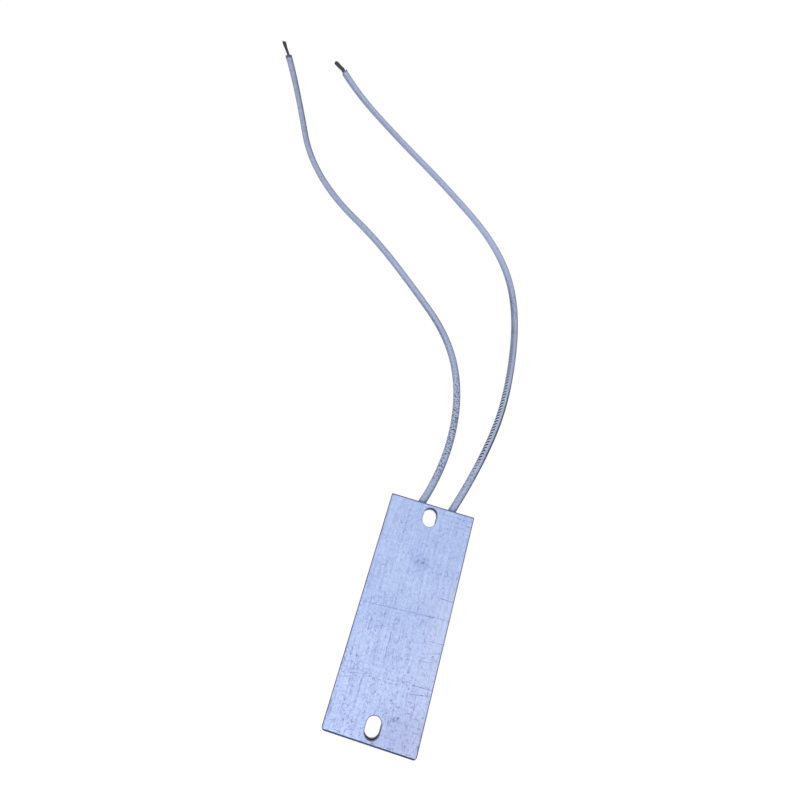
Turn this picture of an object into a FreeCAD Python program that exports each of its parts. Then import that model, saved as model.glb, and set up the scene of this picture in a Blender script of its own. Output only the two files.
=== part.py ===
"""Flat wirewound resistor in an aluminium shell, with two glass-braid leads that lie free.

Millimetres. The origin is the centre of the shell's underside, which lies on the surface.
+X is the shell's width, +Y runs along its length to the end where the leads come out, +Z is up.
"""
import FreeCAD, Part
import math
import os

import Sketcher
from FreeCAD import Vector

# Driving dimensions, each with what it measures
SIZES = {
    "shell_length": (70.0, "overall length of the shell"),
    "shell_width": (28.0, "overall width of the shell"),
    "shell_wall": (0.8, "wall of the flat tube"),
    "long_edge_radius": (0.4, "rounding along the two long sides"),
    "blind_edge_radius": (0.7, "rolled-over edge of the end with no leads"),
    "blind_corner_radius": (1.3, "plan corners of the end with no leads"),
    "lead_slot_to_end": (4.0, "from the end with the leads to the centre of the slot near it"),
    "blind_slot_to_end": (4.5, "from the other end to the centre of the slot near it"),
    "slot_width": (4.4, "width of a fixing slot"),
    "slot_length": (6.2, "end-to-end length of a fixing slot"),
    "seal_recess": (0.4, "depth of each cement seal below the shell's end"),
    "lead_seal_length": (10.0, "cement seal round the leads"),
    "blind_seal_length": (8.5, "cement seal at the other end"),
    "edge_strip_width": (0.6, "mica strip beside each long wall"),
    "centre_strip_width": (0.8, "mica strip between the two cards"),
    "card_gap": (0.1, "room between a card and the strip beside it"),
    "card_end_gap": (0.4, "room between the cards and the blind seal"),
    "notch_depth": (1.0, "depth of the notches along a card's edges"),
    "notch_play": (0.2, "room for the wire in a notch, both sides together"),
    "wire_width": (1.0, "width of the flat resistance wire"),
    "wire_thickness": (0.3, "thickness of the flat resistance wire"),
    "wire_chamfer": (0.12, "flat at each outer corner of the wire where it folds round a card"),
    "turn_pitch": (3.0, "spacing of the turns along a card"),
    "turn_margin": (1.5, "from a card's end to the middle of its outer turn"),
    "crimp_length": (4.5, "length of a crimp barrel"),
    "crimp_wall": (0.25, "metal above and below the conductor in a crimp"),
    "crimp_web": (0.15, "metal between the conductor and the wire in a crimp"),
    "crimp_room": (0.1, "room between a crimp and the mica sheet above or below it"),
    "crimp_to_seal": (1.2, "room between a crimp and the lead seal, where the conductor bends"),
    "crimp_to_card": (1.7, "room between a crimp and the cards, where the wire steps down"),
    "lead_diameter": (2.8, "outside of a lead's braided sleeve"),
    "lead_room": (0.05, "room between a lead and the shell's wall above or below it"),
    "conductor_diameter": (1.0, "stranded conductor of a lead"),
    "conductor_bend": (2.0, "radius of the conductor's bend behind the seal"),
    "floor_gap": (0.05, "room between a lead and the surface it lies on"),
}

# Route of each lead: sideways from the shell's middle, and out from its end where the route begins
LEFT_ROUTE = [
    (-3.8, 0.0),
    (0.4, 13.0),
    (-0.5, 40.4),
    (-10.3, 62.9),
    (-31.5, 82.1),
    (-50.7, 97.9),
    (-73.2, 112.0),
    (-90.9, 130.6),
    (-102.5, 153.1),
    (-114.5, 174.9),
    (-120.0, 183.9),
]
RIGHT_ROUTE = [
    (6.4, 0.0),
    (12.2, 18.2),
    (16.1, 47.4),
    (11.5, 85.5),
    (-2.6, 110.7),
    (-30.5, 133.6),
    (-56.2, 152.0),
    (-81.9, 172.2),
    (-91.8, 182.9),
]

# Bare strands at a free end: distance past the sleeve, sideways to the left of the lead, and radius
LEFT_STRANDS = [
    (0.0, 0.0, 0.45),
    (2.8, 0.0, 0.4),
    (7.5, 0.2, 0.5),
    (11.0, 0.35, 0.65),
    (11.3, 0.35, 0.5),
]
RIGHT_STRANDS = [
    (0.0, 0.0, 0.75),
    (3.2, 0.1, 0.75),
    (7.1, 0.8, 0.72),
    (8.4, 1.1, 0.55),
    (8.7, 1.2, 0.3),
]

RUN_SHARE = 0.45  # share of the shorter run that each bend of a lead takes up
STRAND_SIDES = 8  # flat sides of a bundle of bare strands
PARALLEL = 1e-6  # sine of the angle below which an edge counts as along an axis

doc = FreeCAD.newDocument("Resistor")
sheet = doc.addObject("Spreadsheet::Sheet", "Sizes")
for row, (alias, (value, meaning)) in enumerate(SIZES.items(), start=1):
    sheet.set(f"A{row}", meaning)
    sheet.set(f"B{row}", str(value))
    sheet.setAlias(f"B{row}", alias)
doc.recompute()

# Levels and places that follow from the driving dimensions, as expressions on the sheet
CAVITY_WIDTH = "(Sizes.shell_width - 2 * Sizes.shell_wall)"
CAVITY_HEIGHT = "(Sizes.lead_diameter + 2 * Sizes.lead_room)"
SHELL_HEIGHT = f"({CAVITY_HEIGHT} + 2 * Sizes.shell_wall)"
LEFT_WALL = f"(-{CAVITY_WIDTH} / 2)"
MIDDLE = f"({SHELL_HEIGHT} / 2)"
LEAD_SLOT_PLACE = "(Sizes.shell_length / 2 - Sizes.lead_slot_to_end)"
BLIND_SLOT_PLACE = "(Sizes.blind_slot_to_end - Sizes.shell_length / 2)"
CRIMP_HEIGHT = "(Sizes.conductor_diameter + 2 * Sizes.crimp_wall)"
GAP_HEIGHT = f"({CRIMP_HEIGHT} + 2 * Sizes.crimp_room)"
SHEET_THICKNESS = f"(({CAVITY_HEIGHT} - {GAP_HEIGHT}) / 2)"
GAP_BOTTOM = f"(Sizes.shell_wall + {SHEET_THICKNESS})"
CARD_BOTTOM = f"({GAP_BOTTOM} + Sizes.wire_thickness)"
CARD_THICKNESS = f"({GAP_HEIGHT} - 2 * Sizes.wire_thickness)"
HALF_ROOM = f"(({CAVITY_WIDTH} - Sizes.centre_strip_width) / 2)"
CARD_WIDTH = f"({HALF_ROOM} - Sizes.edge_strip_width - 2 * Sizes.card_gap)"
CARD_MIDDLE = f"(Sizes.centre_strip_width / 2 + Sizes.card_gap + {CARD_WIDTH} / 2)"
LEAD_FACE = "(Sizes.shell_length / 2 - Sizes.seal_recess)"
SEAL_INNER = f"({LEAD_FACE} - Sizes.lead_seal_length)"
BLIND_FACE = "(Sizes.seal_recess - Sizes.shell_length / 2)"
BLIND_INNER = f"({BLIND_FACE} + Sizes.blind_seal_length)"
CRIMP_START = f"({SEAL_INNER} - Sizes.crimp_to_seal - Sizes.crimp_length)"
CARD_END = f"({CRIMP_START} - Sizes.crimp_to_card)"
CARD_START = f"({BLIND_INNER} + Sizes.card_end_gap)"
CARD_LENGTH = f"({CARD_END} - {CARD_START})"
TURNS = f"(floor(({CARD_LENGTH} - 2 * Sizes.turn_margin) / Sizes.turn_pitch) + 1)"
TURN_SPAN = f"(({TURNS} - 1) * Sizes.turn_pitch)"
FIRST_TURN = f"({CARD_END} - Sizes.turn_margin)"
LAST_TURN = f"({FIRST_TURN} - {TURN_SPAN})"
WIRE_OFFSET = "(Sizes.conductor_diameter / 2 + Sizes.crimp_web + Sizes.wire_width / 2)"


def number(expression):
    """The value that an expression on the sheet has now."""
    return float(FreeCAD.Units.Quantity(sheet.evalExpression(expression.replace("Sizes.", ""))).Value)


def size(alias):
    """A driving dimension, read from the sheet."""
    return float(sheet.get(alias))


def bind(thing, **expressions):
    """Tie properties to the sheet. A double underscore in a keyword stands for a dot."""
    for name, expression in expressions.items():
        thing.setExpression(name.replace("__", "."), expression)


mid_height = number(MIDDLE)
gap_bottom = number(GAP_BOTTOM)
gap_height = number(GAP_HEIGHT)
seal_inner = number(SEAL_INNER)
crimp_start = number(CRIMP_START)
first_turn = number(FIRST_TURN)
turns = round(number(TURNS))
card_middle = number(CARD_MIDDLE)
lead_radius = number("Sizes.lead_diameter / 2")
conductor_radius = number("Sizes.conductor_diameter / 2")
wire_offset = number(WIRE_OFFSET)


def origin_plane(body, role):
    """One of a body's own three origin planes."""
    return next(plane for plane in body.Origin.OriginFeatures if plane.Role == role)


def add_sketch(body, name, role="XY_Plane"):
    """An empty sketch on one of a body's origin planes."""
    sketch = body.newObject("Sketcher::SketchObject", name)
    sketch.AttachmentSupport = [(origin_plane(body, role), "")]
    sketch.MapMode = "FlatFace"
    return sketch


def add_rectangle(sketch, width, height):
    """A rectangle centred on the sketch's origin, tied to two expressions."""
    half_width, half_height = number(width) / 2, number(height) / 2
    corners = [
        Vector(-half_width, -half_height, 0),
        Vector(half_width, -half_height, 0),
        Vector(half_width, half_height, 0),
        Vector(-half_width, half_height, 0),
    ]
    lines = [
        sketch.addGeometry(Part.LineSegment(start, end), False)
        for start, end in zip(corners, corners[1:] + corners[:1])
    ]
    bottom, right, top, left = lines
    for line, following in zip(lines, lines[1:] + lines[:1]):
        sketch.addConstraint(Sketcher.Constraint("Coincident", line, 2, following, 1))
    for line in (bottom, top):
        sketch.addConstraint(Sketcher.Constraint("Horizontal", line))
    for line in (right, left):
        sketch.addConstraint(Sketcher.Constraint("Vertical", line))
    sketch.addConstraint(Sketcher.Constraint("Symmetric", bottom, 1, top, 1, -1, 1))
    across = sketch.addConstraint(Sketcher.Constraint("DistanceX", bottom, 1, bottom, 2, 2 * half_width))
    upward = sketch.addConstraint(Sketcher.Constraint("DistanceY", right, 1, right, 2, 2 * half_height))
    sketch.setExpression(f"Constraints[{across}]", width)
    sketch.setExpression(f"Constraints[{upward}]", height)


def add_slot(sketch, middle):
    """A slot along the sketch's vertical axis, with its centre at the expression's height."""
    radius = number("Sizes.slot_width / 2")
    reach = number("(Sizes.slot_length - Sizes.slot_width) / 2")
    centre = number(middle)
    top_circle = Part.Circle(Vector(0, centre + reach, 0), Vector(0, 0, 1), radius)
    low_circle = Part.Circle(Vector(0, centre - reach, 0), Vector(0, 0, 1), radius)
    top = Part.ArcOfCircle(top_circle, 0, math.pi)
    low = Part.ArcOfCircle(low_circle, math.pi, math.tau)
    left = Part.LineSegment(Vector(-radius, centre + reach, 0), Vector(-radius, centre - reach, 0))
    right = Part.LineSegment(Vector(radius, centre - reach, 0), Vector(radius, centre + reach, 0))
    outline = [sketch.addGeometry(shape, False) for shape in (top, left, low, right)]
    for this, following in zip(outline, outline[1:] + outline[:1]):
        sketch.addConstraint(Sketcher.Constraint("Tangent", this, 2, following, 1))
    top_arc, _, low_arc, _ = outline
    for arc in (top_arc, low_arc):
        sketch.addConstraint(Sketcher.Constraint("PointOnObject", arc, 3, -2))
    rounding = sketch.addConstraint(Sketcher.Constraint("Radius", top_arc, radius))
    span = sketch.addConstraint(Sketcher.Constraint("DistanceY", low_arc, 3, top_arc, 3, 2 * reach))
    place = sketch.addConstraint(Sketcher.Constraint("DistanceY", -1, 1, low_arc, 3, centre - reach))
    sketch.setExpression(f"Constraints[{rounding}]", "Sizes.slot_width / 2")
    sketch.setExpression(f"Constraints[{span}]", "Sizes.slot_length - Sizes.slot_width")
    sketch.setExpression(
        f"Constraints[{place}]", f"{middle} - (Sizes.slot_length - Sizes.slot_width) / 2"
    )


def add_block(name, width, length, height):
    """A body with one block on the XY plane, centred on Z."""
    body = doc.addObject("PartDesign::Body", name)
    sketch = add_sketch(body, f"{name}Outline")
    add_rectangle(sketch, width, length)
    pad = body.newObject("PartDesign::Pad", f"{name}Pad")
    pad.Profile = sketch
    bind(pad, Length=height)
    doc.recompute()
    return body


def make_bar(name, x, y, z, across, along, thick):
    """A plain block from expressions for its lowest corner and its three sizes."""
    bar = doc.addObject("Part::Box", name)
    bind(bar, Length=across, Width=along, Height=thick)
    bind(bar, Placement__Base__x=x, Placement__Base__y=y, Placement__Base__z=z)
    return bar


def is_along(edge, axis):
    """Whether a straight edge runs along an axis, either way."""
    return edge.tangentAt(edge.FirstParameter).cross(axis).Length < PARALLEL


def round_edges(body, radius, axis, blind_end_only):
    """Fillet the edges of a body's tip along one axis, all of them or those at the blind end."""
    base = body.Tip
    names = [
        f"Edge{index}"
        for index, edge in enumerate(base.Shape.Edges, start=1)
        if is_along(edge, axis) and (edge.CenterOfMass.y < 0 or not blind_end_only)
    ]
    fillet = body.newObject("PartDesign::Fillet", f"{body.Name}Fillet")
    fillet.Base = (base, names)
    bind(fillet, Radius=radius)
    doc.recompute()


def combine(kind, name, base, tools):
    """A Part boolean of a base and one or more tools."""
    result = doc.addObject(kind, name)
    if kind == "Part::Cut":
        result.Base = base
        result.Tool = tools
    else:
        result.Shapes = [base, *tools]
    return result


# Shell: the block that its plan, its cross-section and its side view have in common, bored through
def make_shell():
    """Flat aluminium tube, open at both ends, with a fixing slot near each end."""
    outer_sizes = ("Sizes.shell_width", "Sizes.shell_length", SHELL_HEIGHT)
    plan = add_block("ShellPlan", *outer_sizes)
    round_edges(plan, "Sizes.blind_corner_radius", Vector(0, 0, 1), True)
    section = add_block("ShellSection", *outer_sizes)
    round_edges(section, "Sizes.long_edge_radius", Vector(0, 1, 0), False)
    side = add_block("ShellSide", *outer_sizes)
    round_edges(side, "Sizes.blind_edge_radius", Vector(1, 0, 0), True)
    outer = combine("Part::MultiCommon", "ShellOuter", plan, [section, side])
    cavity = make_bar(
        "ShellCavity",
        LEFT_WALL,
        "-Sizes.shell_length / 2",
        "Sizes.shell_wall",
        CAVITY_WIDTH,
        "Sizes.shell_length",
        CAVITY_HEIGHT,
    )
    slots = make_slot_tools()
    hollow = combine("Part::MultiFuse", "ShellHollow", cavity, slots)
    shell = combine("Part::Cut", "Shell", outer, hollow)
    return shell, slots


def make_slot_tools():
    """Two slot-shaped bars through the whole height, shared by the shell and its seals."""
    bars = []
    for name, middle in (("LeadSlot", LEAD_SLOT_PLACE), ("BlindSlot", BLIND_SLOT_PLACE)):
        body = doc.addObject("PartDesign::Body", name)
        sketch = add_sketch(body, f"{name}Outline")
        add_slot(sketch, middle)
        bar = body.newObject("PartDesign::Pad", f"{name}Bar")
        bar.Profile = sketch
        bind(bar, Length=SHELL_HEIGHT)
        bars.append(body)
    doc.recompute()
    return bars


# Mica: two sheets, three strips and two notched cards
def make_insulation():
    """The sheets above and below the windings, the strips beside them and the one between them."""
    inner_length = f"({SEAL_INNER} - {BLIND_INNER})"
    sheet_sizes = (CAVITY_WIDTH, inner_length, SHEET_THICKNESS)
    strip_sizes = ("Sizes.edge_strip_width", inner_length, GAP_HEIGHT)
    right_strip = f"-{LEFT_WALL} - Sizes.edge_strip_width"
    top_sheet = f"{GAP_BOTTOM} + {GAP_HEIGHT}"
    centre_start = f"({LAST_TURN} + Sizes.wire_width / 2 + Sizes.notch_play)"
    centre_sizes = ("Sizes.centre_strip_width", f"{SEAL_INNER} - {centre_start}", GAP_HEIGHT)
    return {
        "lower_mica_sheet": make_bar("LowerSheet", LEFT_WALL, BLIND_INNER, "Sizes.shell_wall", *sheet_sizes),
        "upper_mica_sheet": make_bar("UpperSheet", LEFT_WALL, BLIND_INNER, top_sheet, *sheet_sizes),
        "left_edge_strip": make_bar("LeftStrip", LEFT_WALL, BLIND_INNER, GAP_BOTTOM, *strip_sizes),
        "right_edge_strip": make_bar("RightStrip", right_strip, BLIND_INNER, GAP_BOTTOM, *strip_sizes),
        "centre_strip": make_bar(
            "CentreStrip", "-Sizes.centre_strip_width / 2", centre_start, GAP_BOTTOM, *centre_sizes
        ),
    }


def make_card(name, middle):
    """Mica card with a row of notches along both edges, which space the turns of wire."""
    card = add_block(name, CARD_WIDTH, CARD_LENGTH, CARD_THICKNESS)
    notches = add_sketch(card, f"{name}Notches")
    bind(notches, AttachmentOffset__Base__y=f"{CARD_LENGTH} / 2 - Sizes.turn_margin")
    half_card = number(f"{CARD_WIDTH} / 2")
    depth = number("Sizes.notch_depth")
    half_notch = number("(Sizes.wire_width + Sizes.notch_play) / 2")
    for side in (-1, 1):
        add_notch(notches, side, half_card, depth, half_notch)
    pocket = card.newObject("PartDesign::Pocket", f"{name}NotchPair")
    pocket.Profile = notches
    pocket.Type = "ThroughAll"
    pocket.Reversed = True
    doc.recompute()
    row_of_notches = card.newObject("PartDesign::LinearPattern", f"{name}NotchRow")
    row_of_notches.Originals = [pocket]
    row_of_notches.Direction = (notches, ["V_Axis"])
    row_of_notches.Reversed = True
    bind(row_of_notches, Length=TURN_SPAN, Occurrences=TURNS)
    card.Tip = row_of_notches
    bind(
        card,
        Placement__Base__x=middle,
        Placement__Base__y=f"({CARD_START} + {CARD_END}) / 2",
        Placement__Base__z=CARD_BOTTOM,
    )
    return card


def add_notch(sketch, side, half_card, depth, half_notch):
    """One notch, open at the card's edge, as a rectangle that reaches past that edge."""
    inner = side * (half_card - depth)
    outer = side * (half_card + depth)
    corners = [
        Vector(inner, -half_notch, 0),
        Vector(outer, -half_notch, 0),
        Vector(outer, half_notch, 0),
        Vector(inner, half_notch, 0),
    ]
    lines = [
        sketch.addGeometry(Part.LineSegment(start, end), False)
        for start, end in zip(corners, corners[1:] + corners[:1])
    ]
    for line, following in zip(lines, lines[1:] + lines[:1]):
        sketch.addConstraint(Sketcher.Constraint("Coincident", line, 2, following, 1))
    low, outside, high, inside = lines
    for line in (low, high):
        sketch.addConstraint(Sketcher.Constraint("Horizontal", line))
    for line in (outside, inside):
        sketch.addConstraint(Sketcher.Constraint("Vertical", line))
    width = sketch.addConstraint(Sketcher.Constraint("Distance", inside, 2 * half_notch))
    above = sketch.addConstraint(Sketcher.Constraint("Distance", -1, 1, high, half_notch))
    reach = sketch.addConstraint(Sketcher.Constraint("Distance", -1, 1, inside, abs(inner)))
    mouth = sketch.addConstraint(Sketcher.Constraint("Distance", -1, 1, outside, abs(outer)))
    sketch.setExpression(f"Constraints[{width}]", "Sizes.wire_width + Sizes.notch_play")
    sketch.setExpression(f"Constraints[{above}]", "(Sizes.wire_width + Sizes.notch_play) / 2")
    sketch.setExpression(f"Constraints[{reach}]", f"{CARD_WIDTH} / 2 - Sizes.notch_depth")
    sketch.setExpression(f"Constraints[{mouth}]", f"{CARD_WIDTH} / 2 + Sizes.notch_depth")


# Winding: one flat wire, down the left card, across to the right card and back up it
def polygon_prism(points, direction):
    """A solid from a flat closed outline and the vector it is drawn out along."""
    return Part.Face(Part.makePolygon([*points, points[0]])).extrude(direction)


def fold_outline(x, outward):
    """Section of the wire folded down a card's edge at x: its outer corners have flats, top to bottom."""
    low, high = gap_bottom, gap_bottom + gap_height
    thickness, chamfer = size("wire_thickness"), size("wire_chamfer")
    outside = x + outward * thickness
    return [
        (outside - outward * chamfer, high),
        (outside, high - chamfer),
        (outside, low + chamfer),
        (outside - outward * chamfer, low),
        (x, low),
        (x, high - thickness),
    ]


def loop_over_card(y, x_from, x_to, fold_left, fold_right):
    """Wire across the top of a card at y, folded down each edge of the card that is asked for."""
    width = size("wire_width")
    high = gap_bottom + gap_height
    low = high - size("wire_thickness")
    right = fold_outline(x_to, 1) if fold_right else [(x_to, high), (x_to, low)]
    left = fold_outline(x_from, -1) if fold_left else [(x_from, high), (x_from, low)]
    points = [Vector(x, y - width / 2, z) for x, z in right + left[::-1]]
    return polygon_prism(points, Vector(0, width, 0))


def run_under_card(x_from, y_from, x_to, y_to):
    """Wire across the underside of a card, slanted so that it moves on by one turn."""
    half = size("wire_width") / 2
    points = [
        Vector(x_from, y_from - half, gap_bottom),
        Vector(x_from, y_from + half, gap_bottom),
        Vector(x_to, y_to + half, gap_bottom),
        Vector(x_to, y_to - half, gap_bottom),
    ]
    return polygon_prism(points, Vector(0, 0, size("wire_thickness")))


def tail_to_crimp(x):
    """End of the wire, from the first turn along the card, down a step and through the crimp."""
    width, thickness = size("wire_width"), size("wire_thickness")
    top = gap_bottom + gap_height
    step_start = number(CARD_END)
    middle_top = mid_height + thickness / 2
    upper = [
        (first_turn - width / 2, top),
        (step_start, top),
        (crimp_start, middle_top),
        (crimp_start + size("crimp_length"), middle_top),
    ]
    outline = upper + [(y, z - thickness) for y, z in reversed(upper)]
    points = [Vector(x - width / 2, y, z) for y, z in outline]
    return polygon_prism(points, Vector(width, 0, 0))


def make_resistance_wire(left_tail, right_tail):
    """The whole winding as one solid, from the tail in the left crimp to the tail in the right one."""
    half_core = number(f"{CARD_WIDTH} / 2 - Sizes.notch_depth")
    pitch = size("turn_pitch")
    left_low, left_high = -card_middle - half_core, -card_middle + half_core
    right_low, right_high = card_middle - half_core, card_middle + half_core
    heights = [first_turn - index * pitch for index in range(turns)]
    pieces = [tail_to_crimp(left_tail), tail_to_crimp(right_tail)]
    half = size("wire_width") / 2
    for index, y in enumerate(heights):
        first, last = index == 0, index == turns - 1
        if last:
            pieces.append(loop_over_card(y, left_low, right_high, not first, not first))
        else:
            start = left_tail - half if first else left_low
            pieces.append(loop_over_card(y, start, left_high, not first, True))
            end = right_tail + half if first else right_high
            pieces.append(loop_over_card(y, right_low, end, True, not first))
            pieces.append(run_under_card(left_high, y, left_low, y - pitch))
            pieces.append(run_under_card(right_high, y - pitch, right_low, y))
    wire = pieces[0].multiFuse(pieces[1:]).removeSplitter()
    feature = doc.addObject("Part::Feature", "ResistanceWire")
    feature.Shape = wire
    return feature


# Leads: a conductor in a braided sleeve, gripped by the seal, then free along its route
def rounded_path(points, radii):
    """Straight runs joined by tangent arcs of the given radii, as one wire."""
    edges = []
    start = points[0]
    for before, corner, after, radius in zip(points, points[1:], points[2:], radii):
        back = (before - corner).normalize()
        ahead = (after - corner).normalize()
        half_turn = (math.pi - back.getAngle(ahead)) / 2
        setback = radius * math.tan(half_turn)
        enter, leave = corner + back * setback, corner + ahead * setback
        inward = (back + ahead).normalize()
        middle = corner + inward * (radius / math.cos(half_turn) - radius)
        edges.append(Part.LineSegment(start, enter).toShape())
        edges.append(Part.Arc(enter, middle, leave).toShape())
        start = leave
    edges.append(Part.LineSegment(start, points[-1]).toShape())
    return Part.Wire(edges)


def widest_radii(points):
    """The largest arc that each corner's shorter run leaves room for."""
    radii = []
    for before, corner, after in zip(points, points[1:], points[2:]):
        turn = (corner - before).getAngle(after - corner)
        shorter = min((corner - before).Length, (after - corner).Length)
        radii.append(RUN_SHARE * shorter / math.tan(turn / 2))
    return radii


def sweep_rod(path, radius):
    """A round rod along a wire."""
    start = path.Vertexes[0].Point
    along = path.Edges[0].tangentAt(path.Edges[0].FirstParameter)
    ring = Part.Wire(Part.makeCircle(radius, start, along))
    return path.makePipeShell([ring], True, True)


def route_points(route):
    """A lead's route in space: level with the shell's middle at its exit, then down to the surface."""
    shell_end = size("shell_length") / 2
    lying = lead_radius + size("floor_gap")
    heights = [mid_height, mid_height] + [lying] * (len(route) - 2)
    points = [Vector(x, shell_end + out, z) for (x, out), z in zip(route, heights)]
    recess = size("seal_recess")
    along = points[1] - points[0]
    points[0] = points[0] - along * (recess / along.y)
    return points


def make_free_lead(name, points):
    """The lead outside the shell, a plain rod along its route; prints the radii of its bends."""
    radii = widest_radii(points)
    path = rounded_path(points, radii)
    lead = doc.addObject("Part::Feature", name)
    lead.Shape = sweep_rod(path, lead_radius)
    expected = math.pi * lead_radius**2 * path.Length
    print(name, "radii", [round(radius, 1) for radius in radii], "length", round(path.Length, 2))
    print(name, "volume", round(lead.Shape.Volume, 2), "section times length", round(expected, 2))
    return lead


def make_strands(name, points, outline):
    """Bare strands past the sleeve, as one bundle with flat sides."""
    start = points[-1]
    along = (points[-1] - points[-2]).normalize()
    upward = Vector(0, 0, 1)
    aside = upward.cross(along)
    rings = []
    for out, offset, radius in outline:
        middle = start + along * out + aside * offset
        angles = [math.tau * index / STRAND_SIDES for index in range(STRAND_SIDES)]
        corners = [middle + (aside * math.cos(a) + upward * math.sin(a)) * radius for a in angles]
        rings.append(Part.makePolygon([*corners, corners[0]]))
    strands = doc.addObject("Part::Feature", name)
    strands.Shape = Part.makeLoft(rings, True, True)
    return strands


def make_gripped_end(name, points):
    """The sleeve held by the seal, the conductor to its crimp, and the seal's bore for the sleeve."""
    exit_point = points[0]
    along = (points[1] - points[0]).normalize()
    lean = lead_radius * abs(along.x)
    cover = (exit_point.y - seal_inner - lean) / along.y
    inner_end = exit_point - along * cover
    outside = Part.makeCylinder(lead_radius, cover, inner_end, along)
    bore = Part.makeCylinder(conductor_radius, cover, inner_end, along)
    sleeve = doc.addObject("Part::Feature", f"{name}Sleeve")
    sleeve.Shape = outside.cut(bore)
    mouth = doc.addObject("Part::Feature", f"{name}Mouth")
    past_faces = size("lead_diameter")
    mouth.Shape = Part.makeCylinder(
        lead_radius, cover + 2 * past_faces, inner_end - along * past_faces, along
    )
    bend = inner_end - along * (size("crimp_to_seal") / 2)
    crimp_end = Vector(bend.x, crimp_start, mid_height)
    path = rounded_path([exit_point, bend, crimp_end], [size("conductor_bend")])
    conductor = doc.addObject("Part::Feature", f"{name}Conductor")
    conductor.Shape = sweep_rod(path, conductor_radius)
    crimp = make_crimp(f"{name}Crimp", bend.x)
    return sleeve, conductor, crimp, mouth, bend.x + wire_offset


def make_crimp(name, x):
    """Flattened barrel round the conductor at x and, to its right, the end of the resistance wire."""
    length, height = size("crimp_length"), number(CRIMP_HEIGHT)
    radius = height / 2
    base = mid_height - radius
    far = x + wire_offset

    def at(across, up):
        return Vector(across, crimp_start, up)

    corners = [at(x, base), at(far, base), at(far, base + height), at(x, base + height)]
    low_left, low_right, high_right, high_left = corners
    edges = [
        Part.LineSegment(low_left, low_right),
        Part.Arc(low_right, at(far + radius, mid_height), high_right),
        Part.LineSegment(high_right, high_left),
        Part.Arc(high_left, at(x - radius, mid_height), low_left),
    ]
    outline = Part.Wire([edge.toShape() for edge in edges])
    barrel = Part.Face(outline).extrude(Vector(0, length, 0))
    hole = Part.makeCylinder(conductor_radius, length, at(x, mid_height), Vector(0, 1, 0))
    wire_width, wire_thickness = size("wire_width"), size("wire_thickness")
    corner = at(far - wire_width / 2, mid_height - wire_thickness / 2)
    window = Part.makeBox(wire_width, length, wire_thickness, corner)
    crimp = doc.addObject("Part::Feature", name)
    crimp.Shape = barrel.cut([hole, window])
    return crimp


# Seals: cement in each end of the shell, round the leads and clear of the slots
def make_seal(name, start, length, slot, inserts):
    """Cement block that fills the shell's end, cut by the fixing slot and by what it grips."""
    corner = (LEFT_WALL, start, "Sizes.shell_wall")
    block = make_bar(f"{name}Block", *corner, CAVITY_WIDTH, length, CAVITY_HEIGHT)
    tools = slot
    if inserts:
        tools = combine("Part::MultiFuse", f"{name}Tools", slot, inserts)
    return combine("Part::Cut", name, block, tools)


shell, (lead_slot, blind_slot) = make_shell()
nodes = {"shell": shell}
nodes.update(make_insulation())
nodes["left_winding_card"] = make_card("LeftCard", f"-{CARD_MIDDLE}")
nodes["right_winding_card"] = make_card("RightCard", CARD_MIDDLE)

seal_bores = []
tails = {}
for side, route, strands in (("left", LEFT_ROUTE, LEFT_STRANDS), ("right", RIGHT_ROUTE, RIGHT_STRANDS)):
    title = side.capitalize()
    points = route_points(route)
    sleeve, conductor, crimp, mouth, tails[side] = make_gripped_end(title, points)
    nodes[f"{side}_gripped_sleeve"] = sleeve
    nodes[f"{side}_conductor"] = conductor
    nodes[f"{side}_crimp"] = crimp
    nodes[f"{side}_lead"] = make_free_lead(f"{title}Lead", points)
    nodes[f"{side}_bare_strands"] = make_strands(f"{title}Strands", points, strands)
    seal_bores.append(mouth)

nodes["resistance_wire"] = make_resistance_wire(tails["left"], tails["right"])
nodes["lead_end_seal"] = make_seal("LeadSeal", SEAL_INNER, "Sizes.lead_seal_length", lead_slot, seal_bores)
nodes["blind_end_seal"] = make_seal("BlindSeal", BLIND_FACE, "Sizes.blind_seal_length", blind_slot, [])
doc.recompute()

# Check every object, then write each piece
for thing in doc.Objects:
    if {"Invalid", "Error"} & set(thing.State):
        raise RuntimeError(f"{thing.Name} failed: {thing.State}")
os.makedirs("parts", exist_ok=True)
for label, thing in nodes.items():
    thing.Label = label
    shape = thing.Shape
    if shape.isNull() or not shape.isValid() or not shape.Solids:
        raise RuntimeError(f"{label} has no valid solid")
    shape.exportStep(f"parts/{label}.step")
    print(label, "solids", len(shape.Solids), "volume", round(shape.Volume, 2))
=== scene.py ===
"""Looks of a flat wirewound resistor: worn aluminium shell, cement seals and two glass-braid leads.

Metres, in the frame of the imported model: X across the shell, Y along it to the leads, Z up.
"""

import logging
import math
from dataclasses import dataclass, field
from enum import Enum

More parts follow.
